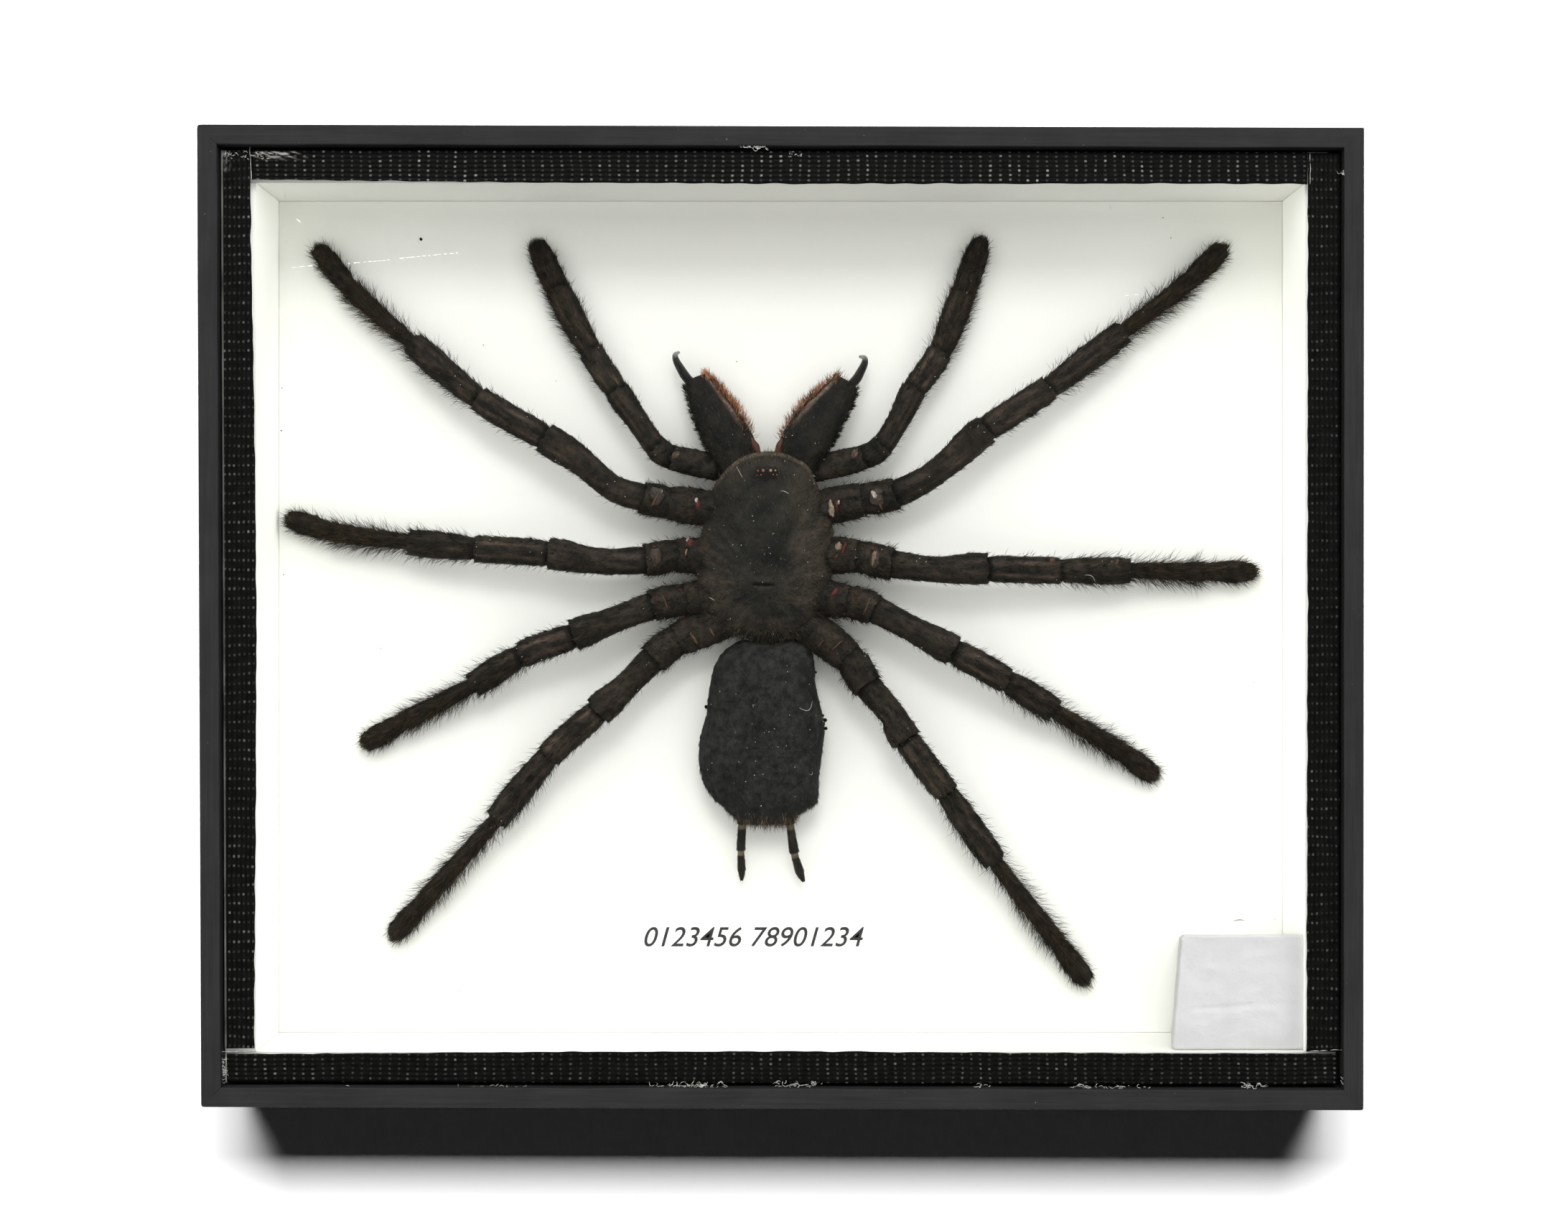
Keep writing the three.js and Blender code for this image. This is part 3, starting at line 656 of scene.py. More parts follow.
# One article of a limb. ends are its first and last station, counted from the root where
# negative; widths run evenly from its far rim to its near neck; grooves says how deep its
# furrows are and bald how bare they show; short and long count and measure its hairs.
# neck, where given, is how strongly painted shadow darkens an article's neck, else 1.
LEG_ARTICLES = [
    dict(ends=(0, 1), widths=(2.2, 3.0, 3.3, 3.4, 3.3, 3.1, 2.8, 2.4), grooves=0.02,
         bald=0.1, short=(1900, 0.6), long=(480, 1.8), tip=True),
    dict(ends=(1, 2), widths=(2.9, 2.9, 2.8, 2.7, 2.6, 2.5, 2.4, 2.3), grooves=0.03,
         bald=0.2, short=(1500, 0.75), long=(850, 2.8)),
    dict(ends=(2, 3), widths=(3.9, 4.3, 4.4, 4.3, 4.2, 4.0, 3.8, 3.3), grooves=0.06,
         bald=0.5, short=(1500, 0.6), long=(480, 2.0)),
    dict(ends=(3, 4), widths=(4.2, 4.4, 4.5, 4.4, 4.4, 4.4, 4.3, 3.7), grooves=0.07,
         bald=0.85, short=(1100, 0.5), long=(260, 1.4), neck=1.9),
    dict(ends=(4, -3), widths=(5.0, 5.2, 4.8, 4.4, 4.2, 4.2, 4.3, 4.5, 4.4), grooves=0.05,
         bald=0.3, short=(1500, 0.42), long=(170, 1.1)),
    dict(ends=(-3, -2), widths=(5.1, 5.3, 5.3, 5.2, 4.9), grooves=0.0, bald=0.2,
         short=(420, 0.4), long=(380, 1.3), neck=0.5),
    dict(ends=(-2, -1), widths=(5.3, 5.7, 5.9, 5.8, 5.4), grooves=0.0, bald=0.2,
         short=(520, 0.4), long=(420, 1.2), neck=0.0),
]
PALP_ARTICLES = [
    dict(ends=(0, 1), widths=(2.3, 3.4, 3.8, 3.9, 3.9, 3.9, 3.7), grooves=0.02, bald=0.1,
         short=(1900, 0.6), long=(420, 1.4), tip=True),
    dict(ends=(1, 2), widths=(4.0, 4.3, 4.4, 4.2, 4.0, 3.8, 3.5), grooves=0.05, bald=0.4,
         short=(1300, 0.6), long=(460, 1.9)),
    dict(ends=(2, 3), widths=(4.1, 4.2, 4.2, 4.1, 3.7), grooves=0.06, bald=0.9,
         short=(800, 0.5), long=(130, 1.3)),
    dict(ends=(3, -3), widths=(4.1, 4.2, 3.9, 3.7, 3.6, 3.6, 3.7), grooves=0.05, bald=0.3,
         short=(1000, 0.45), long=(150, 1.2)),
    dict(ends=(-3, -2), widths=(3.8, 4.0, 4.0, 3.8), grooves=0.0, bald=0,
         short=(240, 0.4), long=(60, 1.0)),
    dict(ends=(-2, -1), widths=(4.0, 4.3, 4.3, 4.2), grooves=0.0, bald=0,
         short=(320, 0.4), long=(90, 1.1)),
]
LIMB_SIDES = 24
LIMB_FLATNESS = 0.92
RING_PITCH = 0.37
RIM_LIP = 0.16
RIM_RAGGED = 0.28
TIP_HAIR = 0.9
NECK_SINK = 0.5
# How far from an article's neck its painted shadow reaches, in millimetres.
NECK_SHADE = 1.1
# The furrows along a limb: angle round it, depth and width in degrees.
FURROWS = ((62, 1.0, 11), (118, 1.0, 11), (8, 0.7, 16), (172, 0.7, 16))


def article_rings(stations, article, salt):
    """One article's rings from its far rim to its near neck, with bald and painted shadow marks.
    """
    ends = [e if e >= 0 else len(stations) + e for e in article["ends"]]
    probe, _ = curve_through(stations, np.linspace(*ends, 40))
    length = np.linalg.norm(np.diff(probe, axis=0), axis=1).sum()
    count = max(10, int(length / RING_PITCH))
    # Hair reaches past a tip, so its shell stops short of the station.
    t = np.linspace(TIP_HAIR / length if "tip" in article else 0, 1, count)
    points, tangents = curve_through(stations, ends[0] + t * (ends[1] - ends[0]))
    widths = np.interp(t, np.linspace(0, 1, len(article["widths"])), article["widths"])
    kernel = np.hanning(7) / np.hanning(7).sum()
    widths = np.convolve(np.pad(widths, 3, mode="edge"), kernel, mode="valid")
    rings = rings_along(points, tangents, widths, LIMB_FLATNESS, LIMB_SIDES)
    angle = circle(LIMB_SIDES)
    fade = clamp(np.minimum(t / 0.12, (1 - t) / 0.15))[:, None] ** 0.7
    mark = np.zeros((count, LIMB_SIDES))
    sunk = np.zeros((count, LIMB_SIDES))
    for centre, deep, wide in FURROWS:
        wander = centre + 5 * np.sin(t * 5 + salt + centre)
        gap = (np.degrees(angle)[None] - wander[:, None] + 180) % 360 - 180
        groove = np.exp(-(gap / wide) ** 2)
        sunk += deep * groove
        if 30 < centre < 150:
            mark += groove
    rough = 0.012 if article["grooves"] else 0.035
    swell = 1 - article["grooves"] * sunk * fade
    swell += 0.025 * ripple(rings, 1.6, salt) + rough * ripple(rings, 0.7, salt + 1)
    rings = points[:, None] + (rings - points[:, None]) * swell[..., None]
    round_limb = np.stack([np.cos(angle), np.sin(angle)], -1)[None] * np.ones((count, 1, 1))
    down_limb = np.repeat(t[:, None, None] * length * 0.22, LIMB_SIDES, 1)
    strands = ripple(np.concatenate([4.2 * round_limb, down_limb], -1), 1.5, salt + 2)
    mark = clamp(mark) * fade * article["bald"] * (0.55 + 0.45 * strands)
    mark = clamp(mark + 0.27 * clamp(strands))
    # Painted shadow: the neck is darkened where it goes in under its neighbour's rim.
    shaded = clamp(1 - (1 - t[:, None]) * length / NECK_SHADE)
    mark = np.maximum(mark - article.get("neck", 1.0) * shaded, -0.85)
    if "tip" not in article:
        ragged = RIM_RAGGED * ripple(rings[:1], 1.4, salt + 3)
        slack = np.exp(-np.arange(count) / 2.0)[:, None] * ragged
        rings += slack[..., None] * tangents[:, None]
    return points, tangents, rings, mark


def close_article(points, tangents, rings, mark, rounded):
    """Adds the rim's lip or the rounded tip at the far end, and the sunk neck."""
    first = rings[0] - points[0]
    if rounded:
        reach = np.linalg.norm(first, axis=1).mean() * 0.95
        front = [points[0] + first * math.cos(a) - tangents[0] * reach * math.sin(a)
                 for a in np.radians([80, 60, 40, 20])]
    else:
        front = [points[0] + first * 0.55 + tangents[0] * 0.2,
                 points[0] + first * 0.86 - tangents[0] * RIM_LIP * 0.8,
                 points[0] + first * 0.95 - tangents[0] * RIM_LIP]
    last = rings[-1] - points[-1]
    back = [points[-1] + last * 0.9 + tangents[-1] * NECK_SINK * 0.5,
            points[-1] + last * 0.7 + tangents[-1] * NECK_SINK]
    pad = np.zeros((1, mark.shape[1]))
    return (np.concatenate([front, rings, back]),
            np.concatenate([pad] * len(front) + [mark] + [pad] * 2))


def top_height(points, x, y, reach=0.7):
    """The highest of the points near a place, as seen from above."""
    near = np.hypot(points[:, 0] - x, points[:, 1] - y) < reach
    return points[near, 2].max() if near.any() else points[:, 2].max()


def add_patches(soup, points, patches, height, rng):
    """Lenses of joint skin on a limb's top. height is about how high that is."""
    sides = 16
    tilt = np.linspace(-1, 1, 7) * 1.45
    angle = circle(sides)
    for px, py, long, wide, turn, tone, lift in patches:
        x, y = at_pixel(px, py, CARD_TOP + height)
        z = top_height(points, x, y)
        rim = np.cos(tilt)[:, None] * (1 + 0.10 * rng.normal(size=(1, sides)))
        flat_x, flat_y = rim * np.cos(angle) * long / 2, rim * np.sin(angle) * wide / 2
        flat_z = np.repeat(np.sin(tilt)[:, None] * 0.22, sides, 1)
        c, s = math.cos(math.radians(turn)), math.sin(math.radians(turn))
        soup.body(np.stack([flat_x * c - flat_y * s + x, flat_x * s + flat_y * c + y,
                            flat_z + z - 0.16 + lift], -1), 1, tone)


# Joint skin that shows between the articles, by limb: pixel, length, width, turn, tone on
# the skin's own scale, and lift above the shell.
# Tones near 1 are painted highlights, the glints of the glossy skin.
PATCHES = {
    "leg_left_1": [
        (915, 692, 3.0, 2.3, 75, 0.02, 0.05), (913, 697, 2.4, 0.35, 62, 0.25, 0.12),
        (919, 687, 1.5, 0.85, 70, 0.97, 0.16), (972, 704, 1.7, 0.8, 78, 0.5, 0.0),
        (970, 697, 0.9, 0.6, 80, 0.95, 0.1)],
    "leg_left_2": [
        (914, 776, 3.0, 1.9, 84, 0.0, 0.0), (915, 778, 2.2, 0.3, 92, 0.25, 0.12),
        (912, 762, 0.6, 0.45, 0, 0.5, 0.1), (961, 757, 1.7, 0.9, 80, 0.5, 0.0),
        (958, 752, 0.8, 0.5, 60, 0.9, 0.1), (956, 769, 1.1, 0.35, 75, 0.7, 0.05)],
    "leg_left_3": [(927, 838, 2.4, 0.3, 112, 0.27, 0.1), (948, 822, 0.6, 0.4, 90, 0.5, 0.1)],
    "leg_left_4": [(967, 889, 2.6, 0.45, 122, 0.27, 0.1), (992, 880, 1.6, 0.35, 120, 0.25, 0.1)],
    "leg_right_1": [
        (1221, 694, 3.0, 2.4, 105, 0.02, 0.05), (1218, 690, 1.7, 1.0, 115, 0.95, 0.12),
        (1224, 702, 2.2, 0.35, 118, 0.27, 0.12), (1158, 708, 2.7, 1.0, 98, 0.78, 0.0),
        (1165, 705, 1.9, 0.5, 95, 0.5, 0.1), (1168, 700, 0.7, 0.4, 90, 1.0, 0.16)],
    "leg_right_2": [
        (1218, 779, 3.1, 1.6, 82, 0.0, 0.0), (1217, 777, 2.7, 0.9, 80, 0.66, 0.1),
        (1215, 765, 0.6, 0.5, 80, 0.5, 0.14), (1168, 761, 1.5, 1.2, 75, 0.72, 0.0),
        (1175, 764, 2.3, 0.55, 72, 0.5, 0.1), (1164, 776, 1.2, 0.3, 60, 0.3, 0.1),
        (1464, 781, 1.0, 0.7, 60, 0.32, 0.0), (1556, 783, 1.0, 0.45, 60, 0.26, 0.0)],
    "leg_right_3": [
        (1207, 845, 2.6, 0.3, 65, 0.27, 0.1), (1209, 838, 1.2, 0.5, 60, 0.1, 0.05),
        (1162, 826, 1.9, 0.9, 60, 0.5, 0.0)],
    "leg_right_4": [(1165, 899, 2.6, 0.28, 45, 0.27, 0.1), (1143, 896, 1.4, 0.3, 52, 0.4, 0.1)],
    "palp_left": [(941, 634, 1.6, 1.1, 30, 0.1, 0.0), (944, 634, 0.7, 0.4, 30, 0.6, 0.1)],
    "palp_right": [(1190, 633, 1.9, 1.2, 60, 0.1, 0.0), (1192, 634, 0.9, 0.4, 60, 0.6, 0.1)],
}


def make_limb(name, stations, articles, salt):
    rng = random(salt)
    stations = np.array(stations) + np.array([0, 0, CARD_TOP])
    skin, coat = Soup(), Soup()
    for number, article in enumerate(articles):
        points, tangents, rings, mark = article_rings(stations, article, salt + number)
        whole, marks = close_article(points, tangents, rings, mark, "tip" in article)
        skin.body(whole, 2 if number >= len(articles) - 2 else 0, marks)
        bare = np.clip(1 - 0.8 * np.abs(mark), 0.05, 1)
        if "tip" in article:
            rings, bare = whole, np.ones(whole.shape[:2])
        brown = int(number < 2)
        count, length = article["short"]
        hairs(coat, rings, count, length * 1.7, 0.11, rng, lift=19, density=bare, slot=brown,
              tufts=0.6)
        count, length = article["long"]
        below = 1 + 1.2 * (rings[..., 1].mean(1, keepdims=True) > rings[..., 1])
        hairs(coat, rings, count, length, 0.07, rng, lift=44, spread=0.6, curl=0.12,
              density=bare * below, long=True, slot=brown, tint=(0.3, 0.95), tufts=0.15)
    surface = np.concatenate(skin.points)
    add_patches(skin, surface, PATCHES[name], 7, rng)
    skin.piece(f"{name}_shell", [LEG_SHELL, MEMBRANE, COXA_SHELL], "limb_shell", [name])
    coat.piece(f"{name}_hair", [LEG_HAIR, BROWN_HAIR], "limb_shell")
    return surface


# ---------------------------------------------------------------- trunk

CARAPACE_OUTLINE = [
    (4.4, -2.3), (6.3, 1.0), (7.6, 4.1), (8.1, 6.7), (8.6, 10.8), (8.2, 14.9), (7.2, 18.0),
    (5.9, 20.9), (4.2, 24.2), (1.0, 25.9), (-2.2, 26.4), (-5.9, 25.6), (-8.8, 23.4),
    (-11.0, 20.0), (-12.6, 13.8), (-13.8, 10.0), (-13.5, 7.1), (-12.8, 3.6), (-11.9, 0.2),
    (-9.6, -2.3), (-6.4, -3.0), (-2.7, -3.2), (0.9, -3.1),
]
ABDOMEN_OUTLINE = [
    (5.7, -30.1), (6.1, -28.6), (6.2, -25.9), (6.5, -23.2), (6.9, -20.4), (7.1, -17.6),
    (6.9, -15.8), (6.2, -13.4), (5.6, -10.6), (5.5, -7.6), (5.0, -5.4), (3.6, -4.0),
    (1.6, -3.4), (-2.5, -3.9), (-6.3, -3.7), (-8.7, -5.0), (-10.5, -7.4), (-11.3, -10.2),
    (-11.8, -13.5), (-12.1, -16.0), (-12.8, -18.4), (-13.2, -20.8), (-13.2, -23.4),
    (-12.7, -26.0), (-11.3, -28.7), (-9.4, -30.4), (-8.3, -31.6), (-6.0, -33.0),
    (-2.4, -33.5), (1.6, -33.0), (3.2, -31.6),
]
FOVEA = (-2.7, 5.1)
EYE_MOUND = (-2.1, 23.0)
# Where the carapace is browner or, below nought, darker: middle, strength, reach in x and y.
BROWN_AREAS = (((4.0, 10.0), 0.24, 2.8, 6.5), ((-7.2, 15.6), 0.14, 1.6, 1.8),
               ((-9.6, 17.5), -0.55, 2.8, 4.6),
               ((-10.0, 6.0), 0.16, 2.4, 4.0), ((-2.4, 16.0), -0.30, 3.6, 8.0),
               ((-2.6, 0.8), -0.10, 6.0, 2.4))
HEAD_RISE = 0.68
TRUNK_SIDES = 220


def polar_body(outline, upper, lower, rows):
    """A body from its outline: rings shrink to the middle above and below the rim.

    upper and lower are (size, height) pairs from the rim to the middle.
    """
    rim = smooth_outline(outline, TRUNK_SIDES)
    middle = rim.mean(0)
    under, over = ([(s, np.interp(-s, [-p[0] for p in pairs], [p[1] for p in pairs]))
                    for s in np.linspace(1, 0.02, steps)]
                   for pairs, steps in ((lower, rows // 2), (upper, rows)))
    rings = [np.column_stack([middle + (rim - middle) * size,
                              np.full(TRUNK_SIDES, CARD_TOP + height)])
             for size, height in under[:0:-1] + over]
    return np.array(rings), len(under) - 1


def groove_depth(points, start, end, deep, wide):
    """How far a straight groove sinks each point, fading out towards its ends."""
    a, b = np.array(start), np.array(end)
    along = (points[..., :2] - a) @ (b - a) / ((b - a) @ (b - a))
    near = a + clamp(along)[..., None] * (b - a)
    gap = np.linalg.norm(points[..., :2] - near, axis=-1)
    return deep * np.exp(-(gap / wide) ** 2) * clamp(np.minimum(along + 0.15, 1.15 - along) / 0.3)


def bump_height(points, centre, high, wide_x, wide_y):
    gap = ((points[..., 0] - centre[0]) / wide_x) ** 2 + (
        (points[..., 1] - centre[1]) / wide_y) ** 2
    return high * np.exp(-gap)


def make_cephalothorax():
    upper = [(1, 6.0), (0.985, 6.5), (0.93, 7.1), (0.85, 7.75), (0.7, 8.5), (0.5, 9.1),
             (0.25, 9.45), (0, 9.5)]
    lower = [(1, 6.0), (0.985, 5.6), (0.9, 5.3), (0.68, 4.8), (0.63, 3.0), (0.55, 2.2),
             (0.35, 1.85), (0, 1.8)]
    rings, rim_row = polar_body(CARAPACE_OUTLINE, upper, lower, 60)
    top = rings[rim_row:]
    # The head end stands higher, over the roots of the chelicerae.
    head = clamp((top[..., 1] - 18.5) / 5.0)
    top[..., 2] += HEAD_RISE * head * (CARD_TOP + 9.4 - top[..., 2])
    pit_x, pit_y = FOVEA
    sink = bump_height(top, (-2.4, 17.0), -0.45, 6.0, 8.0)
    for side in (-1, 1):
        sink += groove_depth(top, (pit_x + side * 1.0, pit_y + 1.6),
                             (pit_x + side * 6.6, 17.0), 0.16, 0.9)
        for reach, rise in ((9.6, 10.2), (10.2, 4.8), (9.6, -0.8), (6.6, -5.2)):
            sink += groove_depth(top, (pit_x + side * 1.6, pit_y + rise * 0.12),
                                 (pit_x + side * reach, pit_y + rise), 0.09, 0.8)
    bend = -0.06 * (top[..., 0] - pit_x) ** 2
    slit = np.exp(-((top[..., 1] - pit_y - bend * -0.6) / 0.2) ** 2)
    slit *= clamp(1 - ((top[..., 0] - pit_x) / 1.8) ** 4)
    sink += 1.3 * slit
    sink -= bump_height(top, EYE_MOUND, 0.35, 2.0, 1.2)
    top[..., 2] -= sink * clamp(np.arange(len(top)) / 6.0)[:, None]
    top[..., 2] += 0.045 * ripple(top, 3.2, 11) + 0.018 * ripple(top, 0.8, 12)
    near_rim = np.exp(-((np.arange(len(rings)) - rim_row) / 3.0) ** 2)[:, None]
    rings[..., 2] += 0.06 * ripple(rings, 1.1, 13) * near_rim
    # Browner towards the rim, in streaks that run out from the pit.
    arm = rings[..., :2] - np.array(FOVEA)
    turn, reach = np.arctan2(arm[..., 1], arm[..., 0]), np.hypot(arm[..., 0], arm[..., 1])
    streak = ripple(np.stack([np.cos(turn) * 9, np.sin(turn) * 9, reach * 0.1], -1), 1.6, 14)
    size = np.concatenate([np.ones(rim_row), np.linspace(1, 0.02, len(top))])[:, None]
    mark = size ** 1.8 * (0.26 + 0.13 * streak) + 0.05 * streak
    mark += 0.09 * ripple(rings, 4.0, 15)
    for area in BROWN_AREAS:
        mark += bump_height(rings, *area)
    rim_rows = slice(rim_row - 1, rim_row + 3)
    mark[rim_rows] += 0.9 * clamp((rings[rim_rows, :, 1] - 20.0) / 2.5)
    skin = Soup()
    skin.body(rings, mark=np.clip(mark, -0.4, 1))
    skin.piece("cephalothorax_shell", [CARAPACE_SHELL], "carapace_shell", ["cephalothorax"])
    coat = Soup()
    rng = random(21)

    def outward(roots):
        return (roots - np.array([*FOVEA, CARD_TOP + 9])) * LEVEL + np.array([0, 0.5, 0])

    hairs(coat, top, 9000, 0.55, 0.06, rng, lift=14, spread=0.5, density=clamp(1 - 3 * slit),
          lay=outward)
    edge = top[:7]
    hairs(coat, edge, 1500, 0.8, 0.06, rng, lift=20, spread=0.6, lay=outward, long=True,
          tint=(0.3, 1.0))
    hairs(coat, edge, 900, 1.5, 0.09, rng, lift=15, spread=0.9, lay=outward, long=True,
          density=clamp((1.5 - edge[..., 1]) / 2) + 1e-6, tint=(0.4, 1.0))
    coat.piece("cephalothorax_hair", [CARAPACE_HAIR], "carapace_shell")
    return top.reshape(-1, 3)


def add_bead(soup, centre, radius, tone, squash=0.9):
    soup.body(np.asarray(centre) + ball(np.linspace(-85, 85, 13), 20, squash) * radius,
              mark=tone)


# The eyes: pixel, radius and tone, two round ones in the middle and three each side.
EYE_SPOTS = [(1063, 655.5, 0.24, 0.62), (1073.5, 655.5, 0.24, 0.85), (1056, 656, 0.20, 0.5),
             (1080, 655.5, 0.18, 0.75), (1055, 662.0, 0.18, 0.3), (1082, 661.5, 0.16, 0.35),
             (1060, 661.5, 0.13, 0.7), (1077, 661, 0.13, 0.6)]


def make_eyes(surface):
    """Eight eyes on their mound, with black ground under them and a low ridge behind."""
    soup = Soup()

    def spot(px, py, reach=0.4):
        x, y = at_pixel(px, py, CARD_TOP + 9.5)
        return x, y, top_height(surface, x, y, reach)

    for px, py, radius, tone in EYE_SPOTS:
        x, y, z = spot(px, py)
        add_bead(soup, (x, y, z + 0.12), radius, tone)
    for px in (1060, 1068, 1076):
        x, y, z = spot(px, 659)
        add_bead(soup, (x, y, z - 0.08), 1.15, 0.0, 0.22)
    x, y, z = spot(1068.5, 665, 0.5)
    for a in np.radians(range(-60, 61, 15)):
        add_bead(soup, (x + 1.0 * math.sin(a), y + 0.35 - 0.6 * math.cos(a), z - 0.05), 0.22,
                 0.0, 0.5)
    soup.piece("eyes", [EYES], "fang_shell")


def make_abdomen():
    upper = [(1, 4.6), (0.985, 5.6), (0.96, 6.4), (0.9, 7.4), (0.8, 8.2), (0.62, 8.85),
             (0.35, 9.2), (0, 9.3)]
    lower = [(1, 4.6), (0.985, 3.4), (0.93, 2.2), (0.82, 1.2), (0.6, 0.5), (0.3, 0.25),
             (0, 0.22)]
    rings, rim_row = polar_body(ABDOMEN_OUTLINE, upper, lower, 70)
    folds = rings * np.array([1.0, 0.16, 0.4])
    swell = 0.20 * ripple(folds, 2.6, 31) + 0.18 * ripple(rings, 6.0, 32)
    swell += 0.035 * ripple(rings, 0.9, 33)
    size = np.concatenate([np.linspace(0.02, 1, rim_row + 1),
                           np.linspace(1, 0.02, len(rings) - rim_row)[1:]])
    rings[..., 2] += swell * np.where(size > 0.9, (1 - size) * 10, 1.0)[:, None]
    rings[..., 2] = np.maximum(rings[..., 2], CARD_TOP + 0.1)
    outward = unit((rings - rings.mean((0, 1))) * LEVEL)
    ragged = 0.10 * ripple(rings, 1.5, 34) * clamp((size - 0.85) / 0.15)[:, None]
    rings += outward * (ragged - 0.08 * (size > 0.85)[:, None])[..., None]
    skin = Soup()
    skin.body(rings)
    waist = np.array([(-2.6, -1.6, 4.6), (-2.6, -3.6, 4.5), (-2.6, -6.5, 4.6)])
    path, tangents = curve_through(waist + np.array([0, 0, CARD_TOP]), np.linspace(0, 2, 14))
    skin.body(rings_along(path, tangents, np.linspace(3.0, 4.2, 14), 0.8, 20))
    skin.piece("abdomen_skin", [ABDOMEN_SKIN], "abdomen_skin", ["abdomen"])
    rng = random(35)

    def rearward(roots):
        return np.array([-2.5, -60.0, CARD_TOP + 4]) - roots

    coat, blush = Soup(), Soup()
    upper_half = rings[rim_row - 6:]
    hairs(coat, upper_half, 20000, 0.5, 0.06, rng, lift=20, spread=0.4, lay=rearward,
          tint=(0.25, 0.88))
    hairs(coat, upper_half, 2200, 0.85, 0.06, rng, lift=24, spread=0.5, lay=rearward,
          long=True, tint=(0.25, 0.88))
    coat.piece("abdomen_hair", [ABDOMEN_HAIR], "abdomen_skin")
    tail = clamp((-31.0 - upper_half[..., 1]) / 1.5) + 1e-6
    hairs(blush, upper_half, 520, 1.3, 0.06, rng, lift=25, spread=0.8, density=tail,
          lay=rearward, long=True)
    blush.piece("abdomen_tail_hair", [TAN_HAIR], "abdomen_skin")
    return upper_half.reshape(-1, 3)


CHELICERAE = {
    "chelicera_left": [
        (-13.6, 38.2, 4.6, 3.6), (-13.1, 37.0, 4.8, 4.6), (-11.9, 34.8, 5.2, 5.7),
        (-10.1, 31.5, 5.8, 7.0), (-8.3, 28.2, 5.8, 7.5), (-7.3, 26.1, 5.2, 7.2),
        (-6.4, 23.5, 4.4, 6.4)],
    "chelicera_right": [
        (10.6, 37.6, 4.6, 3.9), (9.9, 36.4, 4.8, 4.9), (8.3, 34.2, 5.2, 6.1),
        (6.0, 31.2, 5.8, 7.3), (4.0, 28.0, 5.8, 7.7), (2.9, 25.6, 5.2, 7.4),
        (1.9, 23.1, 4.4, 6.4)],
}
# Red-brown skin at the root of each chelicera, listed as the limbs' patches are.
CHELICERA_SKIN = {
    "chelicera_left": [(1052, 621, 3.0, 1.1, -62, 0.42, -0.05)],
    "chelicera_right": [(1085, 623, 3.0, 1.1, 70, 0.42, -0.05)],
}
FANGS = {
    "fang_left": [
        (-16.4, 42.7, 2.6, 0.4), (-17.0, 42.2, 3.1, 0.85), (-16.8, 41.2, 3.6, 1.15),
        (-16.1, 39.9, 4.2, 1.4), (-15.2, 38.5, 4.6, 1.55), (-13.8, 37.0, 4.8, 1.3)],
    "fang_right": [
        (12.7, 42.0, 2.6, 0.4), (13.5, 41.7, 3.1, 0.85), (13.5, 40.8, 3.6, 1.15),
        (12.8, 39.3, 4.2, 1.4), (12.0, 38.0, 4.6, 1.55), (10.5, 36.6, 4.8, 1.3)],
}
SPINNERETS = {
    "spinneret_left": [
        (-6.3, -42.5, 2.8, 0.5), (-6.3, -40.9, 3.0, 1.15), (-6.4, -37.6, 3.6, 1.25),
        (-6.2, -33.4, 4.2, 1.5), (-6.0, -31.0, 4.4, 1.5)],
    "spinneret_right": [
        (3.7, -42.7, 2.8, 0.5), (3.1, -41.2, 3.0, 1.25), (2.2, -38.0, 3.6, 1.35),
        (1.5, -33.4, 4.2, 1.5), (1.0, -31.0, 4.4, 1.5)],
}


def plain_limb(stations, rows, sides, flatness):
    """Rings through (x, y, height, width) stations, and each ring's place along them."""
    table = np.array(stations)
    steps = np.linspace(0, len(table) - 1, rows)
    points, tangents = curve_through(table[:, :3] + np.array([0, 0, CARD_TOP]), steps)
    widths, _ = curve_through(np.column_stack([table[:, 3]] * 3), steps)
    return rings_along(points, tangents, widths[:, 0], flatness, sides), steps


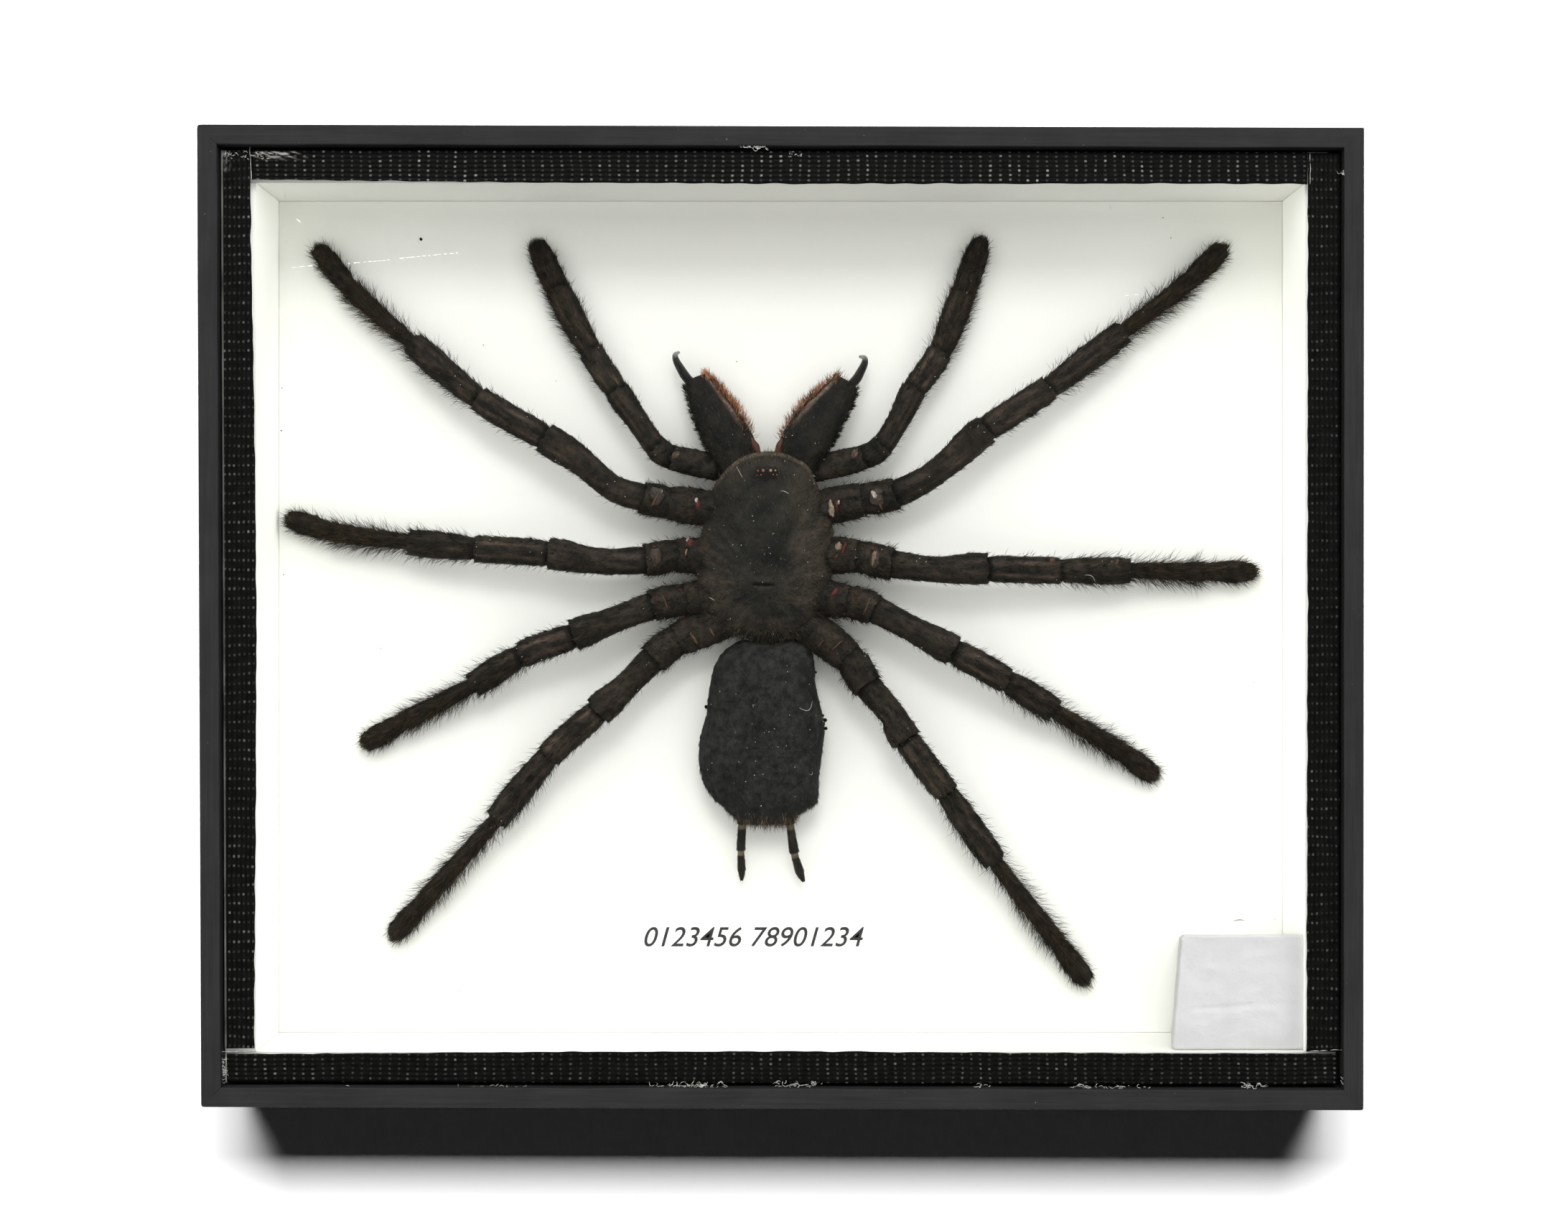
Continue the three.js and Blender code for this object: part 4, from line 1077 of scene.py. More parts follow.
def make_chelicera(name, stations, salt):
    rng = random(salt)
    sides = 48
    rings, steps = plain_limb(stations, 70, sides, 0.86)
    centre = rings.mean(1, keepdims=True)
    rings = centre + (rings - centre) * (1 + 0.02 * ripple(rings, 2.0, salt)
                                         + 0.01 * ripple(rings, 0.7, salt + 1))[..., None]
    # Angle 0 points towards +X, so it's the inner side of the left one.
    inner = 0.0 if name.endswith("left") else 180.0
    gap = (360 * np.arange(sides) / sides - inner + 180) % 360 - 180
    full = np.ones((len(rings), 1))
    # Painted highlight: a pale line along the inner margin, in the shell's bald colour.
    highlight_band = np.exp(-((np.abs(gap) - 38) / 8) ** 2)[None] * full
    highlight_band *= clamp(steps - 0.2)[:, None] * clamp(3.8 - steps)[:, None]
    skin, coat, fringe = Soup(), Soup(), Soup()
    surface = skin.body(rings, mark=highlight_band * 0.75)
    add_patches(skin, surface, CHELICERA_SKIN[name], 8, rng)
    skin.piece(f"{name}_shell", [CHELICERA_SHELL, MEMBRANE], "carapace_shell", [name])
    hairs(coat, rings, 5200, 0.5, 0.06, rng, lift=18, spread=0.4)
    outer = np.exp(-((np.abs(gap) - 180) / 34) ** 2)[None] * full
    hairs(coat, rings, 900, 0.95, 0.10, rng, lift=52, spread=0.3, curl=0.1, density=outer,
          long=True, tint=(0.0, 0.15), tufts=0.8)
    coat.piece(f"{name}_hair", [CARAPACE_HAIR], "carapace_shell")
    edge = np.exp(-(gap / 24) ** 2)[None] * clamp((4.6 - steps) / 2)[:, None]
    hairs(fringe, rings, 620, 1.75, 0.095, rng, lift=62, spread=0.75, density=edge, long=True,
          tufts=0.4)
    mouth = np.exp(-(steps / 0.8) ** 2)[:, None] * np.exp(-(gap / 45) ** 2)[None]
    hairs(fringe, rings, 170, 1.2, 0.08, rng, lift=30, spread=0.7, density=mouth, long=True)
    fringe.piece(f"{name}_fringe", [RED_HAIR], "carapace_shell")
    return rings.reshape(-1, 3)


def make_fang(name, stations):
    rings, steps = plain_limb(stations, 44, 24, 1.0)
    soup = Soup()
    soup.body(rings, mark=clamp(1.9 - steps)[:, None] * np.ones((1, 24)))
    soup.piece(f"{name}_horn", [HORN], "fang_shell", [name])


def make_spinneret(name, stations, salt):
    """Three articles with a small step at each joint."""
    rings, steps = plain_limb(stations, 60, 24, 0.92)
    centre = rings.mean(1, keepdims=True)
    step = (1 + 0.34 * (0.45 - steps % 1) * (steps > 1))[:, None]
    rings = centre + (rings - centre) * (step + 0.04 * ripple(rings, 0.8, salt))[..., None]
    pale = (np.abs(steps % 1 - 0.9) < 0.12) * (steps > 1.5)
    skin, coat = Soup(), Soup()
    skin.body(rings, mark=np.repeat(pale[:, None] * 1.0, 24, 1))
    skin.piece(f"{name}_skin", [SPINNERET_SKIN], "abdomen_skin", [name])
    hairs(coat, rings, 1100, 0.4, 0.04, random(salt), lift=24, spread=0.4)
    coat.piece(f"{name}_hair", [LEG_HAIR], "abdomen_skin")


# ---------------------------------------------------------------- box

SIDES = ("top", "left", "bottom", "right")
# How far each corner of the frame is worn round, by the two rails that meet there.
CORNER_WEAR = {frozenset(("top", "left")): 0.7, frozenset(("top", "right")): 0.2,
               frozenset(("bottom", "right")): 0.45, frozenset(("bottom", "left")): 0.55}
# How far each corner of the hand-made frame sits inside its square, by (right, top).
CORNER_LEAN = {(0, 1): (0.0, 0.0), (1, 1): (0.0, -0.5), (1, 0): (-0.12, 0.0),
               (0, 0): (0.65, 0.5)}
RAIL_ROUND = 0.22


def in_place(x, y, z, quarter):
    """Points drawn for the top side, turned to their own and leaned with the frame."""
    c, s = ((1, 0), (0, 1), (-1, 0), (0, -1))[quarter]
    x, y = x * c - y * s, x * s + y * c
    across = (x / HALF_WIDTH + 1) / 2
    upward = (y / HALF_HEIGHT + 1) / 2
    moved = np.stack([x, y, z], -1)
    for (right, top), shift in CORNER_LEAN.items():
        share = (across if right else 1 - across) * (upward if top else 1 - upward)
        moved[..., 0] += share * shift[0]
        moved[..., 1] += share * shift[1]
    return moved


def make_rail(side, quarter):
    """One rail, drawn along X with its outer face on +Y, then turned into place."""
    reach, half = ((HALF_HEIGHT, HALF_WIDTH) if quarter % 2 == 0
                   else (HALF_WIDTH, HALF_HEIGHT))
    turn = np.radians(np.linspace(0, 90, 6))
    # The section as (inwards, height), from the outer foot over the front.
    section = [(0.0, 0.0), (0.0, FRONT * 0.33), (0.0, FRONT * 0.66)]
    section += [(RAIL_ROUND * (1 - math.cos(a)), FRONT - RAIL_ROUND * (1 - math.sin(a)))
                for a in turn]
    section += [(RAIL_WIDTH * f, FRONT) for f in (0.3, 0.5, 0.7)]
    section += [(RAIL_WIDTH - RAIL_ROUND * (1 - math.sin(a)),
                 FRONT - RAIL_ROUND * (1 - math.cos(a))) for a in turn]
    section += [(RAIL_WIDTH, FRONT * f) for f in (0.66, 0.33, 0.0)]
    depth, height = np.array(section).T
    fine = np.linspace(-1, 1, 181)
    ends = np.linspace(0, 1.5, 10)
    rows = []
    for x in np.unique(np.concatenate([fine * (half - 1.6), half - ends, -half + ends])):
        # The top rail's +X end meets the right rail, the one before it in SIDES.
        radius = CORNER_WEAR[frozenset((side, SIDES[(quarter + (3 if x > 0 else 1)) % 4]))]
        over = clamp((abs(x) - (half - radius)) / radius)
        scoop = radius * (1 - math.sqrt(max(0.0, 1 - (over * 0.7071) ** 2)))
        inward = depth + scoop * clamp(1 - depth / (radius + 1e-6))
        # The mitre: a point this far in can't pass the corner's diagonal.
        along = np.clip(x, -(half - inward), half - inward)
        rows.append(np.column_stack([along, reach - inward, height]))
    rings = np.array(rows)
    shake = 0.05 * ripple(rings * np.array([0.12, 1, 1]), 2.4, 40 + quarter)
    shake *= clamp(rings[..., 2] / FRONT)
    dip = 0.035 * np.abs(ripple(rings * np.array([0.3, 1, 1]), 5.0, 50 + quarter)) + 0.01
    rings[..., 2] -= np.where(height > FRONT - RAIL_ROUND * 0.9, dip, 0)
    rings[..., 1] += np.where(depth > RAIL_WIDTH * 0.6, shake, 0)
    soup = Soup()
    soup.body(in_place(*np.moveaxis(rings[::-1], -1, 0), quarter))
    soup.piece(f"rail_{side}", [WOOD_X if quarter % 2 == 0 else WOOD_Y], "painted_wood",
               [f"frame_rail_{side}"], smooth=False)


def finish_nodes():
    """Better materials for the CAD nodes that stay: back board, card, walls, glass."""
    nodes = frame["nodes"]
    looks = {"back_board": back_wood(), "base_card": CARD, "glass": clear_glass()}
    looks |= {f"tray_wall_{side}": PALER_WALL_CARD for side in SIDES}
    for name, look in looks.items():
        nodes[name].data.materials.clear()
        nodes[name].data.materials.append(look)
    # The lights stand for what comes through the glass, so only looks pass through it.
    nodes["glass"].visible_shadow = False
    nodes["glass"].visible_diffuse = False


TAPE_BOX = {side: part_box(f"tape_{side}") for side in SIDES}
TAPE_STRIP = 0.13
TAPE_ROUND = 0.45
TAPE_PITCH = 0.6
# How far each strip's fold stands out towards its rail, past the CAD's.
TAPE_BULGE = {"top": 0.15, "left": 0.42, "bottom": 0.1, "right": 0.4}
# Where each strip's inner edge runs, as (place along, distance from the middle).
TAPE_EDGES = {
    "top": [(-76, 67.7), (-43, 67.4), (0, 67.3), (35, 67.4), (68, 67.5)],
    "left": [(-60, 82.0), (-27, 81.6), (1, 81.4), (29, 81.6), (62, 82.1)],
    "bottom": [(-68, 67.5), (-35, 67.5), (0, 67.4), (43, 67.6), (76, 68.0)],
    "right": [(-62, 81.6), (0, 81.6), (60, 81.5)],
}


def flat_ripple(u, v, pitch, salt):
    """ripple() by a strip's own two coordinates."""
    return ripple(np.stack([u, v, v * 0], -1), pitch, salt)


def tape_strip(side, length, shift, crumple=None, highlight_strength=0.0):
    """A woven strip over the tray's edge, drawn along X with its fold on +Y.

    crumple gives (from, to, depth) of a wrinkled stretch in strip coordinates, with painted
    glints on it, and the last argument says how pale a painted highlight makes its fold.
    """
    quarter = SIDES.index(side)
    salt = 60 + quarter
    low, high = TAPE_BOX[side]
    reach = max(abs(low[1 - quarter % 2]), abs(high[1 - quarter % 2])) / MM + TAPE_BULGE[side]
    top = high.z / MM - 0.10
    edge = reach - TAPE_ROUND
    u = np.linspace(-length / 2, length / 2, int(length / TAPE_PITCH))
    inner = np.interp(u + shift, *zip(*TAPE_EDGES[side]))
    inner += 0.07 * flat_ripple(u, u * 0, 4.0, salt + 3)
    share = np.linspace(0, 1, 25)
    v = inner[:, None] + share * (edge - inner)[:, None]
    along = np.repeat(u[:, None] + shift, len(share), 1)
    height = 0.02 * np.cos(math.tau * v / WEAVE_ACROSS)
    height += 0.02 * flat_ripple(along, v, 2.5, salt)
    mark = np.zeros_like(height)
    if crumple:
        begin, end, depth = crumple
        inside = clamp((along - begin) / 1.5) * clamp((end - along) / 3.0)
        outer = clamp((share - 0.7) * 5)
        wrinkle = flat_ripple(along, v * 1.6, 0.8, salt + 2)
        height += depth * inside * wrinkle * outer
        # Painted glints: the mark pales the crumple's outer part where its wrinkles catch the
        # light.
        mark = clamp(wrinkle * 1.6 - 0.1) * inside * outer
    # Past the tray's edge the strip turns down, over a small round, then comes back under.
    turn = np.radians([18, 36, 54, 72, 90])
    down = [*TAPE_ROUND * (1 - np.cos(turn)), 3.0, 6.0]
    out = [*edge + TAPE_ROUND * np.sin(turn), reach, reach]
    ones = np.ones((len(u), 1))
    under = top - TAPE_STRIP
    y = np.concatenate([v, ones * out, ones * [reach - 0.16, reach - 0.16], v[:, :1]], 1)
    z = np.concatenate([top + np.clip(height, -0.1, 0.1), ones * (top - np.array(down)),
                        ones * [under - 6.0, under, under]], 1)
    x = np.repeat(u[:, None] + shift, y.shape[1], 1)
    marks = np.zeros_like(x)
    marks[:, :len(share)] = mark
    # Painted highlight: the rows where the strip turns over its fold are marked pale.
    fold_highlight = 0.7 + 0.3 * flat_ripple(u, u * 0, 6.0, salt + 4)
    marks[:, len(share):len(share) + 3] = highlight_strength * clamp(fold_highlight)[:, None]
    soup = Soup()
    soup.body(in_place(x, y, z, quarter)[::-1], mark=marks[::-1])
    soup.piece(f"cloth_tape_{side}", [TAPE_LOOKS[side]], "cloth_tape", [f"tape_{side}"])


def make_tape():
    low, high = TAPE_BOX["left"]
    side_length, middle = (high.y - low.y) / MM, (high.y + low.y) / 2 / MM
    # The top strip runs on to the side strips, whose edges wander from the CAD's.
    top_from, top_to = -82.0, 81.5
    tape_strip("top", top_to - top_from, (top_to + top_from) / 2, (top_from, 9 + top_from, 0.05))
    top_end = middle + side_length / 2
    tape_strip("left", side_length, middle, (top_end - 3.5, top_end + 3, 0.07), highlight_strength=0.4)
    low, high = TAPE_BOX["bottom"]
    tape_strip("bottom", (high.x - low.x) / MM, 0)
    tape_strip("right", side_length, -middle)


PARCEL_TAPER = 0.12


def make_parcel():
    """A folded paper parcel pushed into the tray's corner: a crowned pad with creases."""
    low, high = (np.array(corner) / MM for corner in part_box("corner_parcel"))
    high[0] += 0.55
    low[1] -= 0.28
    lean, soft, steps = 1.4, 0.5, 24
    (left, front, foot), (right, back, lid) = low, high
    corners = np.array([(left + soft, front), (right, front), (right, back - soft),
                        (right - soft, back), (left + lean + soft, back),
                        (left + lean, back - soft), (left, front + soft)])
    share = np.linspace(0, 1, steps, endpoint=False)[:, None]
    outline = np.concatenate([a + (b - a) * share
                              for a, b in zip(corners, np.roll(corners, -1, axis=0))])
    middle = outline.mean(0)
    height = lid - foot
    half = (right - left) / 2
    # Its level rings as (size, height): the wall, the round and the crowned top.
    levels = [(0.97, 0.0), (0.99, 0.3), (1.0, 1.0)]
    levels += [(1.0, 1.0 + f * (height - 2.0)) for f in np.linspace(0.1, 1, 10)]
    levels += [(1 - 0.5 / half * (1 - math.cos(a)), height - 0.9 + 0.7 * math.sin(a))
               for a in np.radians([15, 35, 55, 75, 90])]
    levels += [(f, height - 0.2 + 0.15 * (1 - f)) for f in np.linspace(0.93, 0.03, 26)]
    rings = np.array([np.column_stack([middle + (outline - middle) * size,
                                       np.full(len(outline), foot + z)])
                      for size, z in levels])
    on_top = rings[..., 2] > lid - 0.5
    crease = groove_depth(rings, (left + 1, front + 6.2), (right - 1, front + 7.4), 0.16, 0.35)
    crease += groove_depth(rings, (left + 5.6, front + 1), (left + 6.2, back - 1), 0.10, 0.3)
    crumple = 0.10 * np.abs(ripple(rings, 5.0, 71))
    rings[..., 2] -= np.where(on_top, crease + crumple, 0)
    free = (rings[..., 0] < right - 0.8) & (rings[..., 1] > front + 0.8)
    outward = unit((rings - np.append(middle, 0)) * LEVEL)
    wobble = 0.05 * ripple(rings * np.array([1, 1, 0.4]), 4.0, 72) - 0.08
    rings += outward * (wobble * free)[..., None]
    # Its free sides lean in to a smaller foot.
    shrink = 1 - PARCEL_TAPER * (1 - clamp((rings[..., 2] - foot) / height))
    rings[..., 0] = right - (right - rings[..., 0]) * shrink
    rings[..., 1] = front + (rings[..., 1] - front) * shrink
    soup = Soup()
    soup.body(rings)
    soup.piece("paper_parcel", [PAPER], "paper", ["corner_parcel"])


# ---------------------------------------------------------------- small things


def add_strand(soup, path, widths, flatness, sides):
    """A thin body along a path, with a width for each of its points."""
    tangents = unit(np.gradient(path, axis=0))
    soup.body(rings_along(path, tangents, widths, flatness, sides))


def add_fibre(soup, start, heading, length, width, bend, rng):
    """A thin curved fibre that starts at a point and lies nearly level."""
    steps = np.linspace(0, 1, 7)[:, None]
    across = np.array([-heading[1], heading[0], 0.0])
    path = (start + np.array([*heading, 0.0]) * steps * length
            + across * bend * length * np.sin(steps * math.pi)
            + np.array([0, 0, 0.04]) * rng.random())
    add_strand(soup, path, width * (1 - 0.6 * np.abs(np.linspace(-1, 1, 7))), 1.0, 4)


def add_grain(soup, x, y, z, radius, rng):
    """A tiny irregular grain."""
    wobble = rng.uniform(0.7, 1.25, (4, 6, 1))
    soup.body(np.array([x, y, z]) + ball([-70, -25, 25, 70], 6) * wobble * radius)


# Loose threads where the tape is cut: (px, py, spread x, spread y, count, length, level).
FRAYS = [
    (308, 1492, 1, 22, 34, 1.0, 0.35), (318, 1518, 8, 2, 8, 0.8, 0.3),
    (690, 1517, 60, 2.5, 46, 1.3, 0.3), (1744, 1514, 18, 1.0, 20, 1.2, 0.3),
    (1880, 1506, 8, 6, 22, 1.1, 1.2), (1050, 204, 22, 3, 26, 1.1, 1.9),
    (350, 215, 55, 6, 30, 0.8, 0.35), (1108, 214, 14, 4, 10, 0.6, 0.35),
    (1872, 240, 3.5, 2, 16, 0.9, 1.8), (430, 1518, 70, 2, 14, 0.9, 0.3),
    (1560, 1516, 60, 2, 12, 0.8, 0.3), (958, 1513, 64, 1.2, 46, 1.6, 0.3),
    (1112, 1512, 44, 2.2, 30, 1.1, 0.4), (1370, 1514, 10, 1.2, 7, 1.0, 0.3),
    (1530, 1515, 44, 1.4, 22, 1.3, 0.3),
]
# Raw tape edges that show as a pale line: (from px, py, to px, py).
PALE_EDGES = [(349, 205, 351, 251), (1824, 214, 1824, 256), (303, 1464, 351, 1464),
              (1824, 1463, 1880, 1461), (308, 1468, 306, 1512), (303, 212, 303, 330)]


def make_threads():
    rng = random(80)
    soup = Soup()
    tape_top = GLASS_TOP + 0.45
    for px, py, spread_x, spread_y, count, length, level in FRAYS:
        for _ in range(count):
            jitter_x, jitter_y = rng.uniform(-1, 1, 2) * 0.8
            x, y = at_pixel(px + jitter_x * spread_x, py + jitter_y * spread_y, FRONT)
            turn = rng.uniform(0, math.tau)
            z = min(tape_top + level * rng.uniform(0.6, 1), FRONT - 0.25)
            add_fibre(soup, np.array([x, y, z]), (math.cos(turn), math.sin(turn) * 0.5),
                      length * rng.uniform(0.4, 1), rng.uniform(0.05, 0.11),
                      rng.normal() * 0.3, rng)
    for x0, y0, x1, y1 in PALE_EDGES:
        start, end = (np.array([*at_pixel(x, y, GLASS_TOP), tape_top - 0.02])
                      for x, y in ((x0, y0), (x1, y1)))
        run = end - start
        pieces = max(3, int(np.linalg.norm(run) / 1.3))
        for f in np.arange(pieces) / pieces:
            length = np.linalg.norm(run) / pieces * rng.uniform(0.7, 1.1)
            add_fibre(soup, start + run * f, unit(run)[:2], length, 0.09,
                      rng.normal() * 0.03, rng)
    soup.piece("loose_threads", [THREAD], "cloth_tape")


# Longer curls, where the eye meets them: pixel, turn in degrees, length and bend.
CURLS = [(1113, 985, 25, 2.3, -0.45), (988, 832, -28, 0.9, 0.0), (1088, 684, -22, 1.3, 0.1),
         (1026, 650, -62, 2.0, 0.0), (1511, 801, -32, 2.0, 0.25)]
# Dark specks: pixel and radius, on the card and on the abdomen's edge.
CARD_SPECKS = [
    (587, 334, 0.28), (1630, 332, 0.1), (1619, 304, 0.1), (674, 481, 0.1), (775, 531, 0.09),
    (1026, 504, 0.1), (394, 541, 0.1), (393, 600, 0.12), (1212, 1390, 0.08),
    (1270, 770, 0.06), (1775, 1280, 0.07), (531, 903, 0.09), (396, 800, 0.09),
    (1745, 950, 0.09), (640, 1380, 0.09)]
ABDOMEN_CRUMBS = [(984, 984, 0.32), (988, 978, 0.2), (1149, 1003, 0.38), (1146, 996, 0.24),
                  (1150, 1014, 0.3), (1136, 936, 0.22)]


def make_dust(surfaces):
    """Pale grains and fibres on the specimen, and a few dark specks on the card."""
    rng = random(90)
    pale, dark = Soup(), Soup()
    cloud = np.concatenate(surfaces)
    cloud = cloud[cloud[:, 2] > CARD_TOP + 3.4]
    for x, y, _ in cloud[rng.choice(len(cloud), 230, replace=False)]:
        z = top_height(cloud, x, y, 0.5)
        add_grain(pale, x, y, z + 0.05, rng.uniform(0.03, 0.085), rng)
    for x, y, _ in cloud[rng.choice(len(cloud), 9, replace=False)]:
        z = top_height(cloud, x, y, 0.6) + 0.25
        turn = rng.uniform(0, math.tau)
        add_fibre(pale, np.array([x, y, z]), (math.cos(turn), math.sin(turn)),
                  rng.uniform(0.3, 0.8), 0.04, rng.normal() * 0.3, rng)
    for px, py, turn, length, bend in CURLS:
        x, y = at_pixel(px, py, CARD_TOP + 9)
        z = top_height(cloud, x, y, 1.2) + 0.35
        a = math.radians(turn)
        add_fibre(pale, np.array([x, y, z]), (math.cos(a), math.sin(a)), length, 0.07,
                  bend, rng)
    pale.piece("dust", [THREAD], "paper")
    for px, py, radius in CARD_SPECKS:
        x, y = at_pixel(px, py, CARD_TOP)
        add_grain(dark, x, y, CARD_TOP + radius * 0.4, radius, rng)
    x, y = at_pixel(1725, 1282, CARD_TOP)
    add_fibre(dark, np.array([x - 0.9, y, CARD_TOP + 0.1]), (1.0, 0.05), 1.8, 0.09, 0.1, rng)
    for px, py, radius in ABDOMEN_CRUMBS:
        x, y = at_pixel(px, py, CARD_TOP + 5)
        add_grain(dark, x, y, CARD_TOP + 5.2, radius, rng)
    dark.piece("dark_specks", [LEG_HAIR], "limb_shell")


# Runs of scratch marks in the glass: from pixel, to pixel, how many marks.
SCRATCHES = [((405, 373), (437, 370), 3), ((484, 367), (545, 362), 9),
             ((556, 360), (640, 352), 11), ((1564, 412), (1590, 410), 2),
             ((1722, 450), (1745, 447), 2), ((412, 304), (420, 311), 1)]


def make_scratches():
    """A broken hairline scratch across the glass, and a few short ones."""
    rng = random(95)
    soup = Soup()
    for *ends, count in SCRATCHES:
        start, end = (np.array([*at_pixel(*pixel, GLASS_TOP), GLASS_TOP + 0.012])
                      for pixel in ends)
        heading = unit(end - start) * LEVEL
        step = np.linalg.norm(end - start) / count
        for i in range(count):
            spot = start + heading * step * (i + 0.25 * rng.random())
            steps = np.linspace(0, 1, 5)[:, None]
            path = spot + heading * steps * step * rng.uniform(0.4, 0.9)
            widths = rng.uniform(0.13, 0.22) * np.array([0.3, 0.8, 1, 0.8, 0.3])
            add_strand(soup, path, widths, 0.15, 6)
    soup.piece("glass_scratches", [SCRATCH], "glass")


DIGIT_SIZE = 4.5
DIGIT_SLANT = 0.28
# How far the ink stands out and swells its strokes, and its gap from the card.
INK_THICK, INK_SWELL, INK_GAP = 0.03, 0.012, 0.005
# The line of digits: its first pixel, its last one and its foot.
LABEL_LEFT, LABEL_RIGHT, LABEL_FOOT = 894, 1201, 1317


def make_label():
    """A line of plain digits printed on the card, slanted, where its label goes."""
    left, base = at_pixel(LABEL_LEFT, LABEL_FOOT, CARD_TOP)
    right, _ = at_pixel(LABEL_RIGHT, LABEL_FOOT, CARD_TOP)
    text = bpy.data.curves.new("label_digits", "FONT")
    text.body = LABEL_DIGITS
    text.size = DIGIT_SIZE * MM
    text.shear = DIGIT_SLANT
    text.extrude = INK_THICK / 2 * MM
    text.offset = INK_SWELL * MM
    piece = bpy.data.objects.new("label_digits", text)
    piece.location = (left * MM, base * MM, (CARD_TOP + INK_THICK / 2 + INK_GAP) * MM)
    bpy.context.scene.collection.objects.link(piece)
    bpy.context.view_layer.update()
    text.space_character = 1 + ((right - left) * MM - piece.dimensions.x) / (
        text.size * 0.6 * len(LABEL_DIGITS))
    piece.data.materials.append(INK)
    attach(piece, BODY)


# ---------------------------------------------------------------- studio

LIGHT_DISTANCE = 1.2
# The lights: name, tilt in degrees, size, power, what they light and their bearing. The
# floor's is narrower, so the box's shadow on it has a firm edge. The tray's walls stand on
# edge to the other lights, so three of them have one of their own.
LIGHTS = (("floor_key", 27, (0.75, 0.34), 34.0, "floor", 0),
          ("soft_key", 42, (3.2, 1.6), 33.0, "pieces", 0),
          ("fill", -25, (2.6, 1.3), 12.0, "pieces", 0),
          ("glint", 33, (0.4, 0.3), 4.0, "pieces", 0),
          ("wash_left", 60, (0.8, 0.8), 10.0, "tray_wall_left", 90),
          ("wash_right", 60, (0.8, 0.8), 10.0, "tray_wall_right", -90),
          ("wash_top", 60, (0.8, 0.8), 0.9, "tray_wall_top", 180))
WORLD_STRENGTH = 0.015
STUDIO_REACH = 3.0
FLOOR_HEIGHT = -0.0001
WALL_SIDES = 48
# How brightly the studio's far parts glow, and from where to where the floor takes it up.
FAR_GLOW = 0.95
GLOW_FROM, GLOW_TO = 0.17, 0.9


def studio_part(name, points, faces, material):
    mesh = bpy.data.meshes.new(name)
    mesh.from_pydata(points, [], faces)
    mesh.materials.append(material)
    part = bpy.data.objects.new(name, mesh)
    bpy.context.scene.collection.objects.link(part)
    return part


def make_stage():
    """A pale floor, which glows where the lights are weak, and a pale wall round it."""
    ground = plain_look("pale_floor", 0.9, 0.1, (60, 2), 0.93, 0.945)
    away = ground.node("ShaderNodeVectorMath", "Value", [(0, ground.place)],
                       operation="LENGTH")
    ground.set("Emission Color", (1, 1, 1, 1))
    ground.set("Emission Strength", ground.spread(away, GLOW_FROM, GLOW_TO, 0.0, FAR_GLOW))
    square = [(x * STUDIO_REACH, y * STUDIO_REACH, FLOOR_HEIGHT)
              for x, y in ((-1, -1), (1, -1), (1, 1), (-1, 1))]
    floor = studio_part("floor", square, [(0, 1, 2, 3)], ground.material)
    far = Look("pale_backdrop", 0.9, 0.1).set("Base Color", (0.93, 0.93, 0.93, 1))
    far.set("Emission Color", (1, 1, 1, 1)).set("Emission Strength", FAR_GLOW)
    ring = [(STUDIO_REACH * math.cos(a), STUDIO_REACH * math.sin(a), z)
            for z in (FLOOR_HEIGHT, 2 * STUDIO_REACH) for a in circle(WALL_SIDES)]
    after = [(i + 1) % WALL_SIDES for i in range(WALL_SIDES)]
    panels = [(i, j, WALL_SIDES + j, WALL_SIDES + i) for i, j in enumerate(after)]
    backdrop = studio_part("backdrop", ring, panels, far.material)
    # Only the camera sees it, so it neither lights nor shades the box.
    backdrop.visible_diffuse = backdrop.visible_glossy = False
    backdrop.visible_transmission = backdrop.visible_shadow = False
    return floor


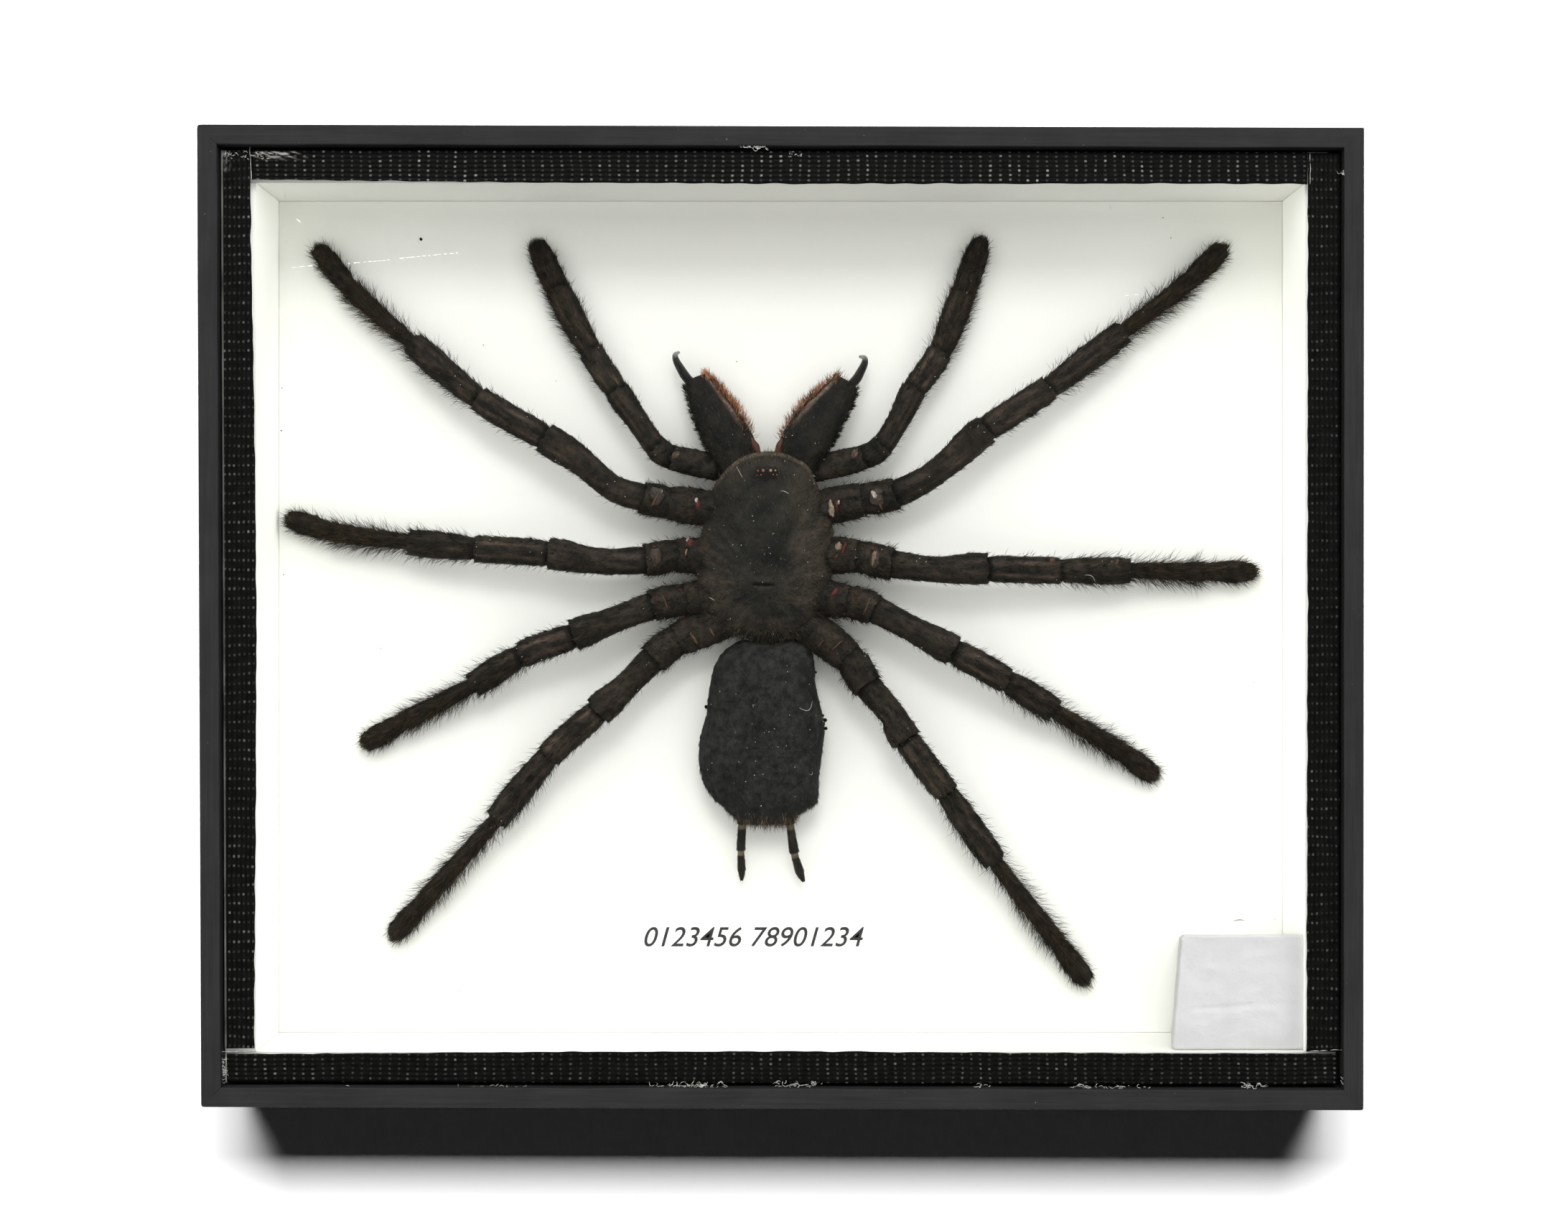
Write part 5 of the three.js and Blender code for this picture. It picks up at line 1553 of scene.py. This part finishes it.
def make_lights(floor, pieces):
    """Area lights over the box, tilted towards its top edge or another bearing."""
    for name, tilt, size, power, lit, bearing in LIGHTS:
        data = bpy.data.lights.new(name, "AREA")
        data.shape = "RECTANGLE"
        data.size, data.size_y = size
        data.energy = power
        light = bpy.data.objects.new(name, data)
        away, turn = math.radians(tilt), math.radians(bearing)
        light.location = LIGHT_DISTANCE * Vector((math.sin(away) * math.sin(turn),
                                                  math.sin(away) * math.cos(turn),
                                                  math.cos(away)))
        light.rotation_mode = "QUATERNION"
        light.rotation_quaternion = light.location.to_track_quat("Z", "Y")
        receivers = bpy.data.collections.new(f"lit_by_{name}")
        for piece in {"floor": [floor], "pieces": pieces}.get(lit) or [frame["nodes"][lit]]:
            receivers.objects.link(piece)
        light.light_linking.receiver_collection = receivers
        # The glass casts no shadow, so light that came through it would count twice.
        light.visible_transmission = False
        light.visible_glossy = name not in ("soft_key", "fill")
        bpy.context.scene.collection.objects.link(light)


def make_studio():
    scene = bpy.context.scene
    scene.view_settings.view_transform = "Standard"
    scene.view_settings.look = "None"
    pieces = [piece for piece in scene.objects if piece.type in {"MESH", "FONT"}]
    make_lights(make_stage(), pieces)
    scene.world = bpy.data.worlds.new("studio")
    scene.world.use_nodes = True
    background = scene.world.node_tree.nodes["Background"]
    background.inputs["Color"].default_value = (1, 1, 1, 1)
    background.inputs["Strength"].default_value = WORLD_STRENGTH


def make_camera():
    """Straight above, near enough that the tray's side walls just show."""
    data = bpy.data.cameras.new("camera")
    data.sensor_width = SENSOR
    data.lens = SENSOR * CAMERA_HEIGHT / (PHOTO_WIDTH * PIXEL)
    camera = bpy.data.objects.new("camera", data)
    camera.location = (CAMERA_X * MM, CAMERA_Y * MM, (FRONT + CAMERA_HEIGHT) * MM)
    bpy.context.scene.collection.objects.link(camera)
    bpy.context.scene.camera = camera


def main():
    make_camera()
    finish_nodes()
    for quarter, side in enumerate(SIDES):
        make_rail(side, quarter)
    make_tape()
    make_parcel()
    surfaces = [make(name, stations, *rest, first + step * number)
                for make, table, rest, first, step in (
                    (make_limb, LEGS, [LEG_ARTICLES], 100, 20),
                    (make_limb, PALPS, [PALP_ARTICLES], 300, 20),
                    (make_chelicera, CHELICERAE, [], 340, 10))
                for number, (name, stations) in enumerate(table.items())]
    for name, stations in FANGS.items():
        make_fang(name, stations)
    for number, (name, stations) in enumerate(SPINNERETS.items()):
        make_spinneret(name, stations, 360 + 10 * number)
    carapace = make_cephalothorax()
    make_eyes(carapace)
    make_dust(surfaces + [carapace, make_abdomen()])
    make_threads()
    make_scratches()
    make_label()
    make_studio()


main()
